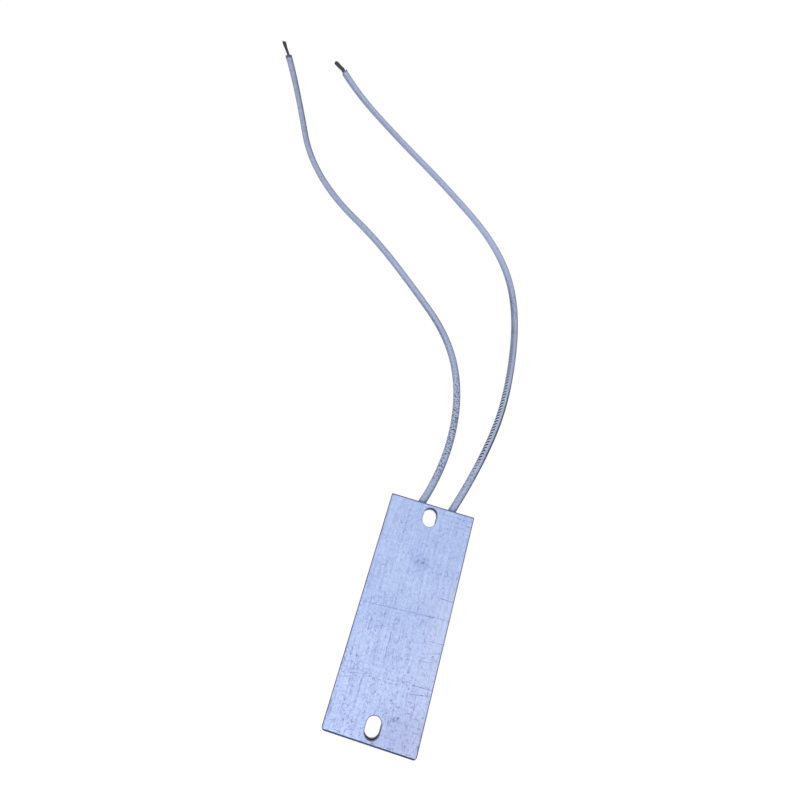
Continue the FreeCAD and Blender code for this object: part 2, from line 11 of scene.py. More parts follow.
import bpy
import numpy as np
from mathutils import Euler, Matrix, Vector

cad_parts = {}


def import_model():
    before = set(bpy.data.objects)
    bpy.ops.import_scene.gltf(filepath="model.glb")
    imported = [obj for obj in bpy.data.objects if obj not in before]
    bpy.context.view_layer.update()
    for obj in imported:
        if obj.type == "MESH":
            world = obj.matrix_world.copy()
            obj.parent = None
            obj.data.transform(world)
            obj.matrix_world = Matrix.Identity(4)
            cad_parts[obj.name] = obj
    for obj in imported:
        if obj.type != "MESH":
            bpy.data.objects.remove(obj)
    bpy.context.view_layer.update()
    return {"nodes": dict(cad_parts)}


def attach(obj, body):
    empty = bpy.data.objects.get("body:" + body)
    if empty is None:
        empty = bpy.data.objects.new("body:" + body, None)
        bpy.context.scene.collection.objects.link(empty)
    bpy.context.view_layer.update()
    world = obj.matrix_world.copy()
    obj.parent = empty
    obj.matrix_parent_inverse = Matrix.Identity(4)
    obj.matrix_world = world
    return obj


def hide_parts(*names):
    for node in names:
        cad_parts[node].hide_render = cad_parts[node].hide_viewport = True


LOG = logging.getLogger("resistor")
MM = 0.001
PHOTO_SIDE = 800
SENSOR = 36.0

Colour = tuple[float, float, float]
Triple = tuple[float, float, float]
Socket = bpy.types.NodeSocket


def display(red: int, green: int, blue: int) -> Colour:
    """Linear colour of a display colour.

    Args:
        red: red, 0 to 255.
        green: green, 0 to 255.
        blue: blue, 0 to 255.

    Returns:
        The same colour as linear values from 0 to 1.
    """
    shares = (red / 255, green / 255, blue / 255)
    return tuple(((c + 0.055) / 1.055) ** 2.4 if c > 0.04045 else c / 12.92 for c in shares)


class MathStep(Enum):
    """The arithmetic that a Math node does."""

    ADD = "ADD"
    SUBTRACT = "SUBTRACT"
    MULTIPLY = "MULTIPLY"
    DIVIDE = "DIVIDE"
    POWER = "POWER"
    SMALLER = "MINIMUM"
    LARGER = "MAXIMUM"
    ABSOLUTE = "ABSOLUTE"
    FRACTION = "FRACT"


class Signal:
    """A number that varies over a surface: one output socket, with arithmetic that adds Math nodes."""

    def __init__(self, bench: "NodeBench", socket: Socket) -> None:
        """Wrap a socket.

        Args:
            bench: the tree that the socket belongs to.
            socket: the output that carries the number.
        """
        self.bench = bench
        self.socket = socket

    def step(self, kind: MathStep, *values: "Signal | float") -> "Signal":
        """Add one Math node.

        Args:
            kind: what the node does.
            values: its inputs in order.

        Returns:
            The node's result.
        """
        sockets = {index: value for index, value in enumerate(values)}
        node = self.bench.node("ShaderNodeMath", {"operation": kind.value}, sockets)
        return Signal(self.bench, node.outputs[0])

    def __add__(self, other: "Signal | float") -> "Signal":
        """Sum with a signal or number."""
        return self.step(MathStep.ADD, self, other)

    __radd__ = __add__

    def __sub__(self, other: "Signal | float") -> "Signal":
        """This less a signal or number."""
        return self.step(MathStep.SUBTRACT, self, other)

    def __rsub__(self, other: float) -> "Signal":
        """A number less this."""
        return self.step(MathStep.SUBTRACT, other, self)

    def __mul__(self, other: "Signal | float") -> "Signal":
        """Product with a signal or number."""
        return self.step(MathStep.MULTIPLY, self, other)

    __rmul__ = __mul__

    def __truediv__(self, other: "Signal | float") -> "Signal":
        """This over a signal or number."""
        return self.step(MathStep.DIVIDE, self, other)

    def __pow__(self, other: float) -> "Signal":
        """This to a power."""
        return self.step(MathStep.POWER, self, other)

    def __abs__(self) -> "Signal":
        """Size without sign."""
        return self.step(MathStep.ABSOLUTE, self)

    def pulse(self, inner: float, outer: float) -> "Signal":
        """A bar in each whole step of this: 1 in the step's middle, 0 from outer away from it.

        Args:
            inner: distance from the middle up to which it is 1, in steps.
            outer: distance from which on it is 0.

        Returns:
            The bars.
        """
        return abs(self.step(MathStep.FRACTION, self) - 0.5).ramp(inner, outer, 1.0, 0.0)

    def at_most(self, other: "Signal | float") -> "Signal":
        """The smaller of this and another."""
        return self.step(MathStep.SMALLER, self, other)

    def at_least(self, other: "Signal | float") -> "Signal":
        """The larger of this and another."""
        return self.step(MathStep.LARGER, self, other)

    def clipped(self, low: float = 0.0, high: float = 1.0) -> "Signal":
        """This, kept between two numbers."""
        return self.at_least(low).at_most(high)

    def ramp(self, low: float, high: float, start: float = 0.0, end: float = 1.0) -> "Signal":
        """A smooth change between two values.

        Args:
            low: value of this at which the change starts.
            high: value of this at which it ends.
            start: result up to low.
            end: result from high on.

        Returns:
            The eased result.
        """
        sockets = {"Value": self, "From Min": low, "From Max": high, "To Min": start, "To Max": end}
        node = self.bench.node("ShaderNodeMapRange", {"interpolation_type": "SMOOTHSTEP"}, sockets)
        return Signal(self.bench, node.outputs["Result"])


class NodeBench:
    """A node tree under construction, with the helpers that wire it."""

    def __init__(self, tree: bpy.types.NodeTree) -> None:
        """Take a tree and empty it.

        Args:
            tree: the tree of a material or of the world.
        """
        self.tree = tree
        self.tree.nodes.clear()

    def node(self, kind: str, settings: dict, sockets: dict) -> bpy.types.Node:
        """Add a node of any type.

        Args:
            kind: the node's type.
            settings: its properties, set first.
            sockets: values or links of its inputs, by name or index.

        Returns:
            The new node.
        """
        made = self.tree.nodes.new(kind)
        for key, value in settings.items():
            setattr(made, key, value)
        for key, value in sockets.items():
            self.feed(made.inputs[key], value)
        return made

    def feed(self, target: Socket, value: object) -> None:
        """Link an input to a socket or a signal, or set its value.

        Args:
            target: the input.
            value: a signal, a socket, a number, a colour or a vector.
        """
        if isinstance(value, Signal):
            self.tree.links.new(value.socket, target)
        elif isinstance(value, Socket):
            self.tree.links.new(value, target)
        elif isinstance(value, tuple) and target.type == "RGBA":
            target.default_value = (*value, 1.0)
        else:
            target.default_value = value

    def seen(self) -> Signal:
        """Tell the rays that show a surface from those that only light the scene.

        Returns:
            1 for rays from the camera, from a reflection or through glass, and 0 for the others.
        """
        rays = self.node("ShaderNodeLightPath", {}, {}).outputs
        kinds = ("Is Camera Ray", "Is Glossy Ray", "Is Transmission Ray")
        camera, glossy, through = (Signal(self, rays[kind]) for kind in kinds)
        return camera.at_least(glossy).at_least(through)


class ShaderBench(NodeBench):
    """One material under construction: its shader, and the places and patterns that feed it."""

    def __init__(self, name: str) -> None:
        """Start an empty material that has a Principled shader, and read the place on the object in
        millimetres and the surface's direction.

        Args:
            name: the material's name.
        """
        self.material = bpy.data.materials.new(name)
        self.material.use_nodes = True
        super().__init__(self.material.node_tree)
        self.shader = self.node("ShaderNodeBsdfPrincipled", {}, {})
        self.node("ShaderNodeOutputMaterial", {}, {"Surface": self.shader.outputs[0]})
        on_object = self.node("ShaderNodeTexCoord", {}, {}).outputs["Object"]
        scaled = {"Vector": on_object, "Scale": (1 / MM, 1 / MM, 1 / MM)}
        self.place = self.node("ShaderNodeMapping", {}, scaled).outputs[0]
        self.x, self.y, self.z = self.parts(self.place)
        self.normal = self.parts(self.node("ShaderNodeNewGeometry", {}, {}).outputs["Normal"])

    def parts(self, place: Socket) -> tuple[Signal, Signal, Signal]:
        """The three numbers of a vector."""
        split = self.node("ShaderNodeSeparateXYZ", {}, {0: place})
        return tuple(Signal(self, output) for output in split.outputs)

    def stretched(self, scale: Triple, turn: float = 0.0, place: Socket | None = None) -> Socket:
        """A place turned about Z and then scaled axis by axis.

        Args:
            scale: factor along each axis.
            turn: angle in degrees, for a pattern that runs at a slant.
            place: the vector to change, or None for the place on the object.

        Returns:
            The changed vector.
        """
        place = place or self.place
        turned = {"Vector": place, "Rotation": (0.0, 0.0, math.radians(turn))}
        place = self.node("ShaderNodeMapping", {}, turned).outputs[0] if turn else place
        return self.node("ShaderNodeMapping", {}, {"Vector": place, "Scale": scale}).outputs[0]

    def noise(self, scale: float, detail: float = 2.0, place: Socket | None = None) -> Signal:
        """Cloudy variation about zero, from about -0.5 to 0.5.

        Args:
            scale: its fineness.
            detail: octaves of finer variation.
            place: where it is read, or None for the place on the object.

        Returns:
            The variation.
        """
        sockets = {"Vector": place or self.place, "Scale": scale, "Detail": detail, "Roughness": 0.6}
        node = self.node("ShaderNodeTexNoise", {"noise_dimensions": "3D"}, sockets)
        return Signal(self, node.outputs[0]) - 0.5

    def specks(
        self, scale: float, reach: float, share: float, place: Socket | None = None, axes: str = "3D"
    ) -> Signal:
        """Scattered spots, one in some of the cells of a random layout.

        Args:
            scale: cells to each unit.
            reach: radius of a spot as a share of a cell.
            share: how many of the cells have one, from 0 to 1.
            place: where they are read, or None for the place on the object. Stretched along an axis,
                the spots turn into dashes.
            axes: 3D, or 2D for a layout that reads X and Y alone.

        Returns:
            1 on a spot and 0 off it.
        """
        sockets = {"Vector": place or self.place, "Scale": scale}
        node = self.node("ShaderNodeTexVoronoi", {"voronoi_dimensions": axes}, sockets)
        distance = Signal(self, node.outputs["Distance"])
        lot = self.node("ShaderNodeSeparateColor", {}, {0: node.outputs["Color"]})
        chosen = Signal(self, lot.outputs[0]).ramp(1 - share, 1 - share + 0.02)
        return distance.ramp(reach * 0.4, reach, 1.0, 0.0) * chosen

    def cracks(self, scale: float, width: float, bend: float, place: Socket) -> Signal:
        """Thin crooked lines: the borders of random cells, bent by noise and broken up by more of it.

        Args:
            scale: cells to each unit.
            width: half a line's width as a share of a cell.
            bend: how far the noise bends them, in units.
            place: where they are read.

        Returns:
            1 on a line and 0 off it.
        """
        waves = self.node("ShaderNodeTexNoise", {}, {"Vector": place, "Scale": 1.1, "Detail": 2.0})
        terms = {0: waves.outputs["Color"], 1: (bend, bend, bend), 2: place}
        bent = self.node("ShaderNodeVectorMath", {"operation": "MULTIPLY_ADD"}, terms).outputs[0]
        sockets = {"Vector": bent, "Scale": scale}
        cells = self.node("ShaderNodeTexVoronoi", {"feature": "DISTANCE_TO_EDGE"}, sockets)
        line = Signal(self, cells.outputs["Distance"]).ramp(width * 0.3, width, 1.0, 0.0)
        return line * self.noise(0.8, 2.0, place).ramp(-0.02, 0.12)

    def mix(self, factor: "Signal | float", first: object, second: object) -> Socket:
        """A colour between two.

        Args:
            factor: 0 for the first, 1 for the second.
            first: a colour or a colour socket.
            second: the same.

        Returns:
            The mixed colour.
        """
        made = self.node("ShaderNodeMix", {"data_type": "RGBA"}, {"Factor": factor})
        self.feed(made.inputs[6], first)
        self.feed(made.inputs[7], second)
        return made.outputs[2]

    def scratch(self, place: Socket, start: Triple, end: Triple, width: float) -> Signal:
        """A straight scratch: its strength falls with the distance from the line between two points.

        Args:
            place: where it is read, with Z left out.
            start: one end.
            end: the other end.
            width: half its width.

        Returns:
            1 along the line and 0 beyond its width.
        """
        run = Vector(end) - Vector(start)
        kind = "ShaderNodeVectorMath"
        gap = self.node(kind, {"operation": "SUBTRACT"}, {0: place, 1: start}).outputs[0]
        dot = self.node(kind, {"operation": "DOT_PRODUCT"}, {0: gap, 1: tuple(run)})
        share = (Signal(self, dot.outputs["Value"]) / run.length_squared).clipped()
        foot = self.node(kind, {"operation": "SCALE"}, {0: tuple(run), "Scale": share}).outputs[0]
        away = self.node(kind, {"operation": "DISTANCE"}, {0: gap, 1: foot}).outputs["Value"]
        return Signal(self, away).ramp(width * 0.3, width, 1.0, 0.0)

    def bump(self, height: Signal, depth: float, strength: float = 1.0) -> None:
        """Raise the surface's detail.

        Args:
            height: relief, from 0 to 1.
            depth: what 1 stands for, in metres.
            strength: how much of it shows.
        """
        sockets = {"Height": height, "Distance": depth, "Strength": strength}
        made = self.node("ShaderNodeBump", {}, sockets)
        self.tree.links.new(made.outputs[0], self.shader.inputs["Normal"])

    def finish(self, **sockets: object) -> bpy.types.Material:
        """Feed the shader's inputs.

        Args:
            sockets: values or links, with an underscore for each space of an input's name.

        Returns:
            The finished material.
        """
        for key, value in sockets.items():
            self.feed(self.shader.inputs[key.replace("_", " ")], value)
        return self.material


@dataclass(frozen=True)
class Mark:
    """A scratch on the shell's top face, in millimetres from the shell's middle."""

    start: tuple[float, float]
    end: tuple[float, float]
    width: float = 0.11
    depth: float = 0.6


SCORES = (
    Mark((-12.6, 0.7), (13.9, 2.6), 0.15, 0.6),
    Mark((8.5, 8.1), (13.6, 8.1), 0.15, 0.7),
    Mark((9.5, -4.5), (13.9, -4.3), 0.12, 0.7),
    Mark((6.9, -5.6), (13.1, -5.0), 0.1, 0.4),
    Mark((7.5, -8.5), (13.5, -7.0), 0.1, 0.5),
    Mark((8.6, -10.4), (13.3, -9.5), 0.1, 0.5),
    Mark((8.2, -12.4), (13.5, -11.7), 0.1, 0.4),
    Mark((7.5, -17.2), (13.9, -16.8), 0.14, 0.8),
    Mark((7.6, -19.5), (13.8, -18.3), 0.14, 0.8),
    Mark((11.6, -18.1), (14.0, -19.4), 0.12, 0.6),
    Mark((-12.7, -19.4), (-5.4, -17.7), 0.13, 0.5),
    Mark((-12.9, -17.6), (3.0, -17.4), 0.1, 0.35),
    Mark((-5.4, -18.2), (3.0, -18.4), 0.12, 0.5),
    Mark((3.0, -18.4), (7.3, -15.9), 0.12, 0.5),
    Mark((-2.2, -5.1), (-2.1, -12.5), 0.12, 0.7),
    Mark((-5.5, 0.6), (-5.4, -5.2), 0.11, 0.5),
    Mark((-3.8, 11.7), (-3.4, 3.4), 0.11, 0.5),
    Mark((-5.9, 21.3), (-5.4, 13.1), 0.1, 0.35),
    Mark((5.2, 14.7), (10.7, 14.8), 0.1, 0.4),
    Mark((10.6, 3.9), (8.0, -4.9), 0.11, 0.4),
    Mark((-9.5, -6.7), (-6.4, -4.6), 0.12, 0.5),
    Mark((1.8, 18.8), (3.8, 1.0), 0.12, 0.3),
    Mark((-10.0, -2.2), (-9.7, -10.1), 0.1, 0.35),
    Mark((10.0, -20.7), (12.9, -22.7), 0.1, 0.4),
    Mark((-4.8, 27.6), (-4.7, 25.6), 0.14, 0.4),
    Mark((3.6, 33.1), (13.6, 33.3), 0.13, 0.5),
    Mark((4.2, 31.9), (13.7, 31.6), 0.12, 0.45),
    Mark((4.4, 30.6), (13.5, 30.1), 0.12, 0.4),
    Mark((6.0, 29.3), (13.6, 28.9), 0.12, 0.35),
    Mark((-7.0, -4.6), (-3.6, -4.2), 0.11, 0.4),
    Mark((-9.9, -2.0), (-8.6, -3.6), 0.1, 0.4),
    Mark((-8.6, -3.6), (-9.9, -4.4), 0.1, 0.4),
    Mark((-9.9, -4.4), (-9.9, -2.0), 0.1, 0.3),
    Mark((-14.0, 8.0), (-13.8, 6.2), 0.22, 0.8),
    Mark((-14.0, -2.2), (-13.9, -3.4), 0.2, 0.7),
    Mark((-14.0, -6.4), (-13.8, -7.8), 0.22, 0.7),
    Mark((13.6, -31.2), (13.8, -32.6), 0.22, 0.7),
)


class Zone(Enum):
    """The parts of the shell's face that a layer of small marks covers."""

    ALL = "all"
    RIGHT = "right"
    LOWER = "lower"
    PATCHES = "patches"


@dataclass(frozen=True)
class Dashes:
    """A layer of random dashes: they run along the axis with the smaller stretch, turned in degrees."""

    strength: float
    stretch: Triple
    turn: float
    reach: float
    share: float
    zone: Zone = Zone.ALL


@dataclass(frozen=True)
class Cracks:
    """A layer of crooked hairlines, each a border of random cells that noise bends."""

    strength: float
    stretch: Triple
    turn: float
    scale: float
    width: float
    bend: float
    zone: Zone = Zone.ALL


DASH_LAYERS = (
    Dashes(0.5, (1.8, 0.14, 0.3), 1.0, 0.13, 0.6),
    Dashes(0.35, (2.8, 0.26, 0.3), -1.5, 0.2, 0.5),
    Dashes(0.5, (0.16, 1.5, 0.3), 3.0, 0.14, 0.5, Zone.RIGHT),
    Dashes(0.4, (0.25, 1.8, 0.3), 24.0, 0.1, 0.3, Zone.LOWER),
    Dashes(0.35, (0.2, 1.6, 0.3), -2.0, 0.12, 0.3, Zone.LOWER),
)
CRACK_LAYERS = (
    Cracks(0.45, (1.4, 0.2, 0.3), 0.0, 0.7, 0.06, 1.2),
    Cracks(0.4, (0.4, 1.3, 0.3), 4.0, 0.8, 0.07, 1.0, Zone.LOWER),
    Cracks(0.4, (1.0, 1.0, 1.0), 0.0, 0.7, 0.06, 2.2, Zone.PATCHES),
)


@dataclass(frozen=True)
class SlotWallLightAndShade:
    """Painted light and shade on the fixing slots' walls, by height in millimetres: painted light from the
    floor at the foot and painted shade above.
    """

    # Painted light from the white floor at the foot of the slots' walls.
    foot: Colour = display(222, 232, 252)
    # Painted shade inside the slots, above the foot.
    bore_shade: Colour = display(30, 35, 74)
    foot_top: float = 1.4
    bore_start: float = 1.9
    slot_radius: float = 2.2

    def colour(self, bench: ShaderBench) -> Socket:
        """Colour at each height: painted light at the foot, painted shade above."""
        return bench.mix(bench.z.ramp(self.foot_top, self.bore_start), self.foot, self.bore_shade)

    def mask(self, bench: ShaderBench, reach: float) -> Signal:
        """Where the walls are.

        Args:
            bench: the material.
            reach: distance from the shell's middle line beyond which no wall is a slot's.

        Returns:
            1 on a slot's wall and 0 off it.
        """
        upright = abs(bench.normal[2]).ramp(0.2, 0.5, 1.0, 0.0)
        return abs(bench.x).ramp(self.slot_radius, reach, 1.0, 0.0) * upright


@dataclass(frozen=True)
class ShellFinish:
    """Mill-finish aluminium, drawn lengthwise, with handling scratches, painted shade on its rolled edges
    and ends, and painted light and shade on the slots' walls.
    """

    light: Colour = display(196, 212, 245)
    shade: Colour = display(143, 162, 215)
    pale_end: Colour = display(198, 207, 238)
    lilac: Colour = display(160, 165, 204)
    score: Colour = display(92, 102, 160)
    # Colour of the painted shade on the rounded edges and ends, and of the slots' dark rings.
    edge: Colour = display(50, 54, 92)
    smudge: Colour = display(118, 134, 180)
    slots: SlotWallLightAndShade = SlotWallLightAndShade()
    half_width: float = 14.0
    half_length: float = 35.0
    slot_places: tuple[float, float] = (31.0, -30.5)
    slot_reach: float = 0.9
    wall_reach: float = 2.6
    smudge_place: Triple = (1.4, 16.5, 4.5)
    smudge_reach: float = 3.4
    groove_depth: float = 0.03 * MM

    def material(self) -> bpy.types.Material:
        """Build the finish.

        Returns:
            The material for the shell.
        """
        bench = ShaderBench("worn_aluminium")
        drawn = bench.noise(1.0, 3.0, bench.stretched((9.0, 0.12, 1.0)))
        cloud = bench.noise(0.16, 3.0)
        grain = bench.noise(3.5, 2.0)
        upward = abs(bench.normal[2])
        dashes = self.dashes(bench) * bench.y.ramp(26.0, -22.0, 0.6, 1.15)
        scores = self.scores(bench) * upward.ramp(0.3, 0.8)
        # Painted shade on the rounded edges and ends, and dark rings round the slots.
        rim_shade = self.painted_edge_shade(bench, grain, upward)
        in_slot = self.slots.mask(bench, self.wall_reach)
        colour = self.ground(bench, drawn, cloud, grain)
        colour = bench.mix(dashes, colour, self.score)
        colour = bench.mix(self.stain(bench), colour, self.smudge)
        colour = bench.mix(scores, colour, self.score)
        colour = bench.mix(rim_shade, colour, self.edge)
        # Painted light and shade on the slots' walls.
        colour = bench.mix(in_slot, colour, self.slots.colour(bench))
        wear = (dashes + scores).at_most(1.0)
        bench.bump(0.5 + drawn * 0.7 + grain * 0.3 - wear * 0.6, self.groove_depth, 0.6)
        rough = (0.42 + drawn * 0.2 + cloud * 0.1 + wear * 0.1).clipped(0.2, 0.8)
        # Less metallic where painted light and shade lie on the slots' walls and the edges.
        metal = 1.0 - in_slot.at_least(rim_shade) * 0.6
        return bench.finish(Base_Color=colour, Roughness=rough, Metallic=metal)

    def ground(self, bench: ShaderBench, drawn: Signal, cloud: Signal, grain: Signal) -> Socket:
        """Colour of the bare metal, which grows more uneven and paler away from the leads.

        Args:
            bench: the material.
            drawn: fine streaks along the shell.
            cloud: broad variation.
            grain: fine variation.

        Returns:
            The colour.
        """
        x, y = bench.x, bench.y
        worn = y.ramp(24.0, -26.0, 0.85, 1.25)
        streaks = bench.noise(1.0, 2.0, bench.stretched((1.3, 0.035, 0.5)))
        uneven = drawn * 1.2 + cloud * 0.7 + grain * 1.15 + bench.noise(1.1, 4.0) * 1.1
        tone = 0.58 + uneven * worn + streaks * 0.7
        colour = bench.mix(tone.clipped(), self.shade, self.light)
        paler = y.ramp(20.0, -30.0, 0.0, 0.2) + x.ramp(4.0, 12.0) * y.ramp(18.0, 6.0) * 0.45
        colour = bench.mix(paler, colour, self.pale_end)
        corner = y.ramp(-18.0, -32.0) * x.ramp(-4.0, 8.0) * (0.45 + drawn * 3.0)
        return bench.mix(corner.clipped(0.0, 0.6), colour, self.lilac)

    def dashes(self, bench: ShaderBench) -> Signal:
        """Many small scratches and pits.

        Args:
            bench: the material.

        Returns:
            How dark each makes the surface.
        """
        x, y = bench.x, bench.y
        patches = bench.noise(0.22, 2.0).ramp(-0.1, 0.1, 0.15, 1.15)
        strengths = {
            Zone.ALL: 1.0,
            Zone.RIGHT: x.ramp(3.0, 11.0) * y.ramp(9.0, 2.0) * y.ramp(-30.0, -24.0),
            Zone.LOWER: y.ramp(-8.0, -20.0, 0.25, 1.0),
            Zone.PATCHES: patches,
        }
        pits = bench.specks(0.6, 0.2, 0.35, axes="2D") * y.ramp(0.0, 25.0, 0.35, 0.7)
        nicks = bench.specks(1.5, 0.4, 0.3, axes="2D") * 0.16
        total = (self.ticks(bench) + pits + nicks) * patches
        for layer in DASH_LAYERS:
            place = bench.stretched(layer.stretch, layer.turn)
            marks = bench.specks(1.0, layer.reach, layer.share, place)
            total = total + marks * layer.strength * strengths[layer.zone]
        for layer in CRACK_LAYERS:
            place = bench.stretched(layer.stretch, layer.turn)
            marks = bench.cracks(layer.scale, layer.width, layer.bend, place)
            total = total + marks * layer.strength * strengths[layer.zone]
        return total.at_most(0.9)

    def ticks(self, bench: ShaderBench) -> Signal:
        """Faint slanted ticks that noise bends a little.

        Args:
            bench: the material.

        Returns:
            How dark they make the surface.
        """
        terms = {0: bench.place, "Scale": 1.0 + bench.noise(1.4, 1.0) * 0.016}
        bowed = bench.node("ShaderNodeVectorMath", {"operation": "SCALE"}, terms).outputs[0]
        return bench.specks(1.0, 0.2, 0.25, bench.stretched((1.0, 2.2, 0.3), 35.0, bowed)) * 0.2

    def scores(self, bench: ShaderBench) -> Signal:
        """The scratches that stand out, each in its own place.

        Args:
            bench: the material.

        Returns:
            How dark they make the surface.
        """
        wobble = bench.noise(0.5, 2.0) * 0.5
        flat = bench.stretched((1.0, 1.0, 0.0))
        shift = bench.node("ShaderNodeCombineXYZ", {}, {0: wobble, 1: wobble, 2: 0.0}).outputs[0]
        moved = bench.node("ShaderNodeVectorMath", {"operation": "ADD"}, {0: flat, 1: shift}).outputs[0]
        broken = bench.noise(1.2, 2.0).ramp(-0.25, 0.1, 0.35, 1.0)
        total: Signal | None = None
        for mark in SCORES:
            line = bench.scratch(moved, (*mark.start, 0.0), (*mark.end, 0.0), mark.width) * mark.depth
            total = line if total is None else total.at_least(line)
        return total * broken

    def stain(self, bench: ShaderBench) -> Signal:
        """The faint grey smudge above the middle.

        Args:
            bench: the material.

        Returns:
            How much of the smudge's colour shows.
        """
        ends = {0: bench.place, 1: self.smudge_place}
        away = bench.node("ShaderNodeVectorMath", {"operation": "DISTANCE"}, ends).outputs["Value"]
        near = Signal(bench, away).ramp(0.0, self.smudge_reach, 1.0, 0.0)
        dots = bench.specks(0.95, 0.6, 0.6, axes="2D") * 0.75
        return near * (0.22 + dots + bench.noise(2.1, 3.0)).clipped()

    def painted_edge_shade(self, bench: ShaderBench, grain: Signal, upward: Signal) -> Signal:
        """Painted shade on the rounded edges, as dark lines along the sides, the cut end and the blind end,
        and a dark ring round both slots.

        Args:
            bench: the material.
            grain: fine variation, which makes the line uneven.
            upward: how far the surface faces up or down.

        Returns:
            How dark the painted shade and the rings make the surface.
        """
        x, y = bench.x, bench.y
        # Painted shade where the rounded edges turn from the top towards the sides.
        rounding = upward.ramp(0.99, 0.93) * upward.ramp(0.04, 0.2)
        # Painted shade as dark lines along the sides and at the cut and blind ends.
        side = (abs(x) + grain * 0.3).ramp(self.half_width - 0.45, self.half_width - 0.2)
        side = side * y.ramp(5.0, 25.0, 0.35, 0.7)
        cut = (y + grain * 0.5).ramp(self.half_length - 0.48, self.half_length - 0.2) * 0.85
        blind = (grain * 0.2 - y).ramp(self.half_length - 0.68, self.half_length - 0.5)
        lengthwise = [(abs(y - middle) - self.slot_reach).at_least(0.0) for middle in self.slot_places]
        nearer = lengthwise[0].at_most(lengthwise[1])
        gap = (x * x + nearer * nearer) ** 0.5 - self.slots.slot_radius
        ring = (gap + grain * 0.15).ramp(0.08, 0.3, 1.0, 0.0) * y.ramp(0.0, -1.0, 0.3, 0.8)
        lines = side.at_least(cut).at_least(blind).at_least(ring) * upward.ramp(0.5, 0.8)
        return (rounding * 0.85).at_least(lines).at_most(1.0)


@dataclass(frozen=True)
class CementFinish:
    """Matt cast cement with a fine grain, with painted light and shade on the fixing slots' walls."""

    pale: Colour = display(178, 180, 184)
    dark: Colour = display(132, 132, 138)
    slots: SlotWallLightAndShade = SlotWallLightAndShade()
    wall_reach: float = 2.4
    face: float = 34.5
    grain_depth: float = 0.08 * MM

    def material(self) -> bpy.types.Material:
        """Build the finish.

        Returns:
            The material for both seals.
        """
        bench = ShaderBench("cast_cement")
        grain = bench.noise(2.2, 5.0)
        pores = bench.specks(2.4, 0.25, 0.35)
        colour = bench.mix((0.5 + grain * 1.6).clipped(), self.dark, self.pale)
        colour = bench.mix(pores * 0.5, colour, self.dark)
        in_slot = self.slots.mask(bench, self.wall_reach)
        in_slot = in_slot * abs(bench.y).ramp(self.face - 0.2, self.face, 1.0, 0.0)
        # Painted light and shade on the slots' walls.
        colour = bench.mix(in_slot, colour, self.slots.colour(bench))
        bench.bump(0.5 + grain * 0.8 - pores * 0.6, self.grain_depth, 0.8)
        return bench.finish(Base_Color=colour, Roughness=0.92)


@dataclass(frozen=True)
class MicaFinish:
    """Pearly brown mica sheet with flakes that lie flat."""

    pale: Colour = display(206, 186, 142)
    dark: Colour = display(160, 134, 92)
    flake_depth: float = 0.03 * MM

    def material(self) -> bpy.types.Material:
        """Build the finish.

        Returns:
            The material for the sheets, strips and cards.
        """
        bench = ShaderBench("mica")
        flakes = bench.noise(1.0, 5.0, bench.stretched((0.5, 0.5, 4.0)))
        glints = bench.specks(1.2, 0.4, 0.3)
        colour = bench.mix((0.5 + flakes * 1.8).clipped(), self.dark, self.pale)
        bench.bump(0.5 + flakes, self.flake_depth, 0.5)
        rough = (0.45 - glints * 0.2 + flakes * 0.2).at_least(0.15)
        return bench.finish(Base_Color=colour, Roughness=rough, Coat_Weight=0.2)


@dataclass(frozen=True)
class MetalFinish:
    """A drawn or plated metal, from its two tones and how rough it is."""

    name: str
    pale: Colour
    dark: Colour
    rough: float
    lines: Triple = (1.0, 8.0, 8.0)
    line_depth: float = 0.02 * MM

    def material(self) -> bpy.types.Material:
        """Build the finish.

        Returns:
            The material.
        """
        bench = ShaderBench(self.name)
        drawn = bench.noise(1.0, 3.0, bench.stretched(self.lines))
        tarnish = bench.noise(0.7, 4.0)
        tone = 0.55 + drawn * 0.9 + tarnish * 1.1
        colour = bench.mix(tone.clipped(), self.dark, self.pale)
        bench.bump(0.5 + drawn, self.line_depth, 0.6)
        rough = (self.rough + drawn * 0.15 + tarnish * 0.2).clipped(0.1, 0.9)
        return bench.finish(Base_Color=colour, Roughness=rough, Metallic=1.0)


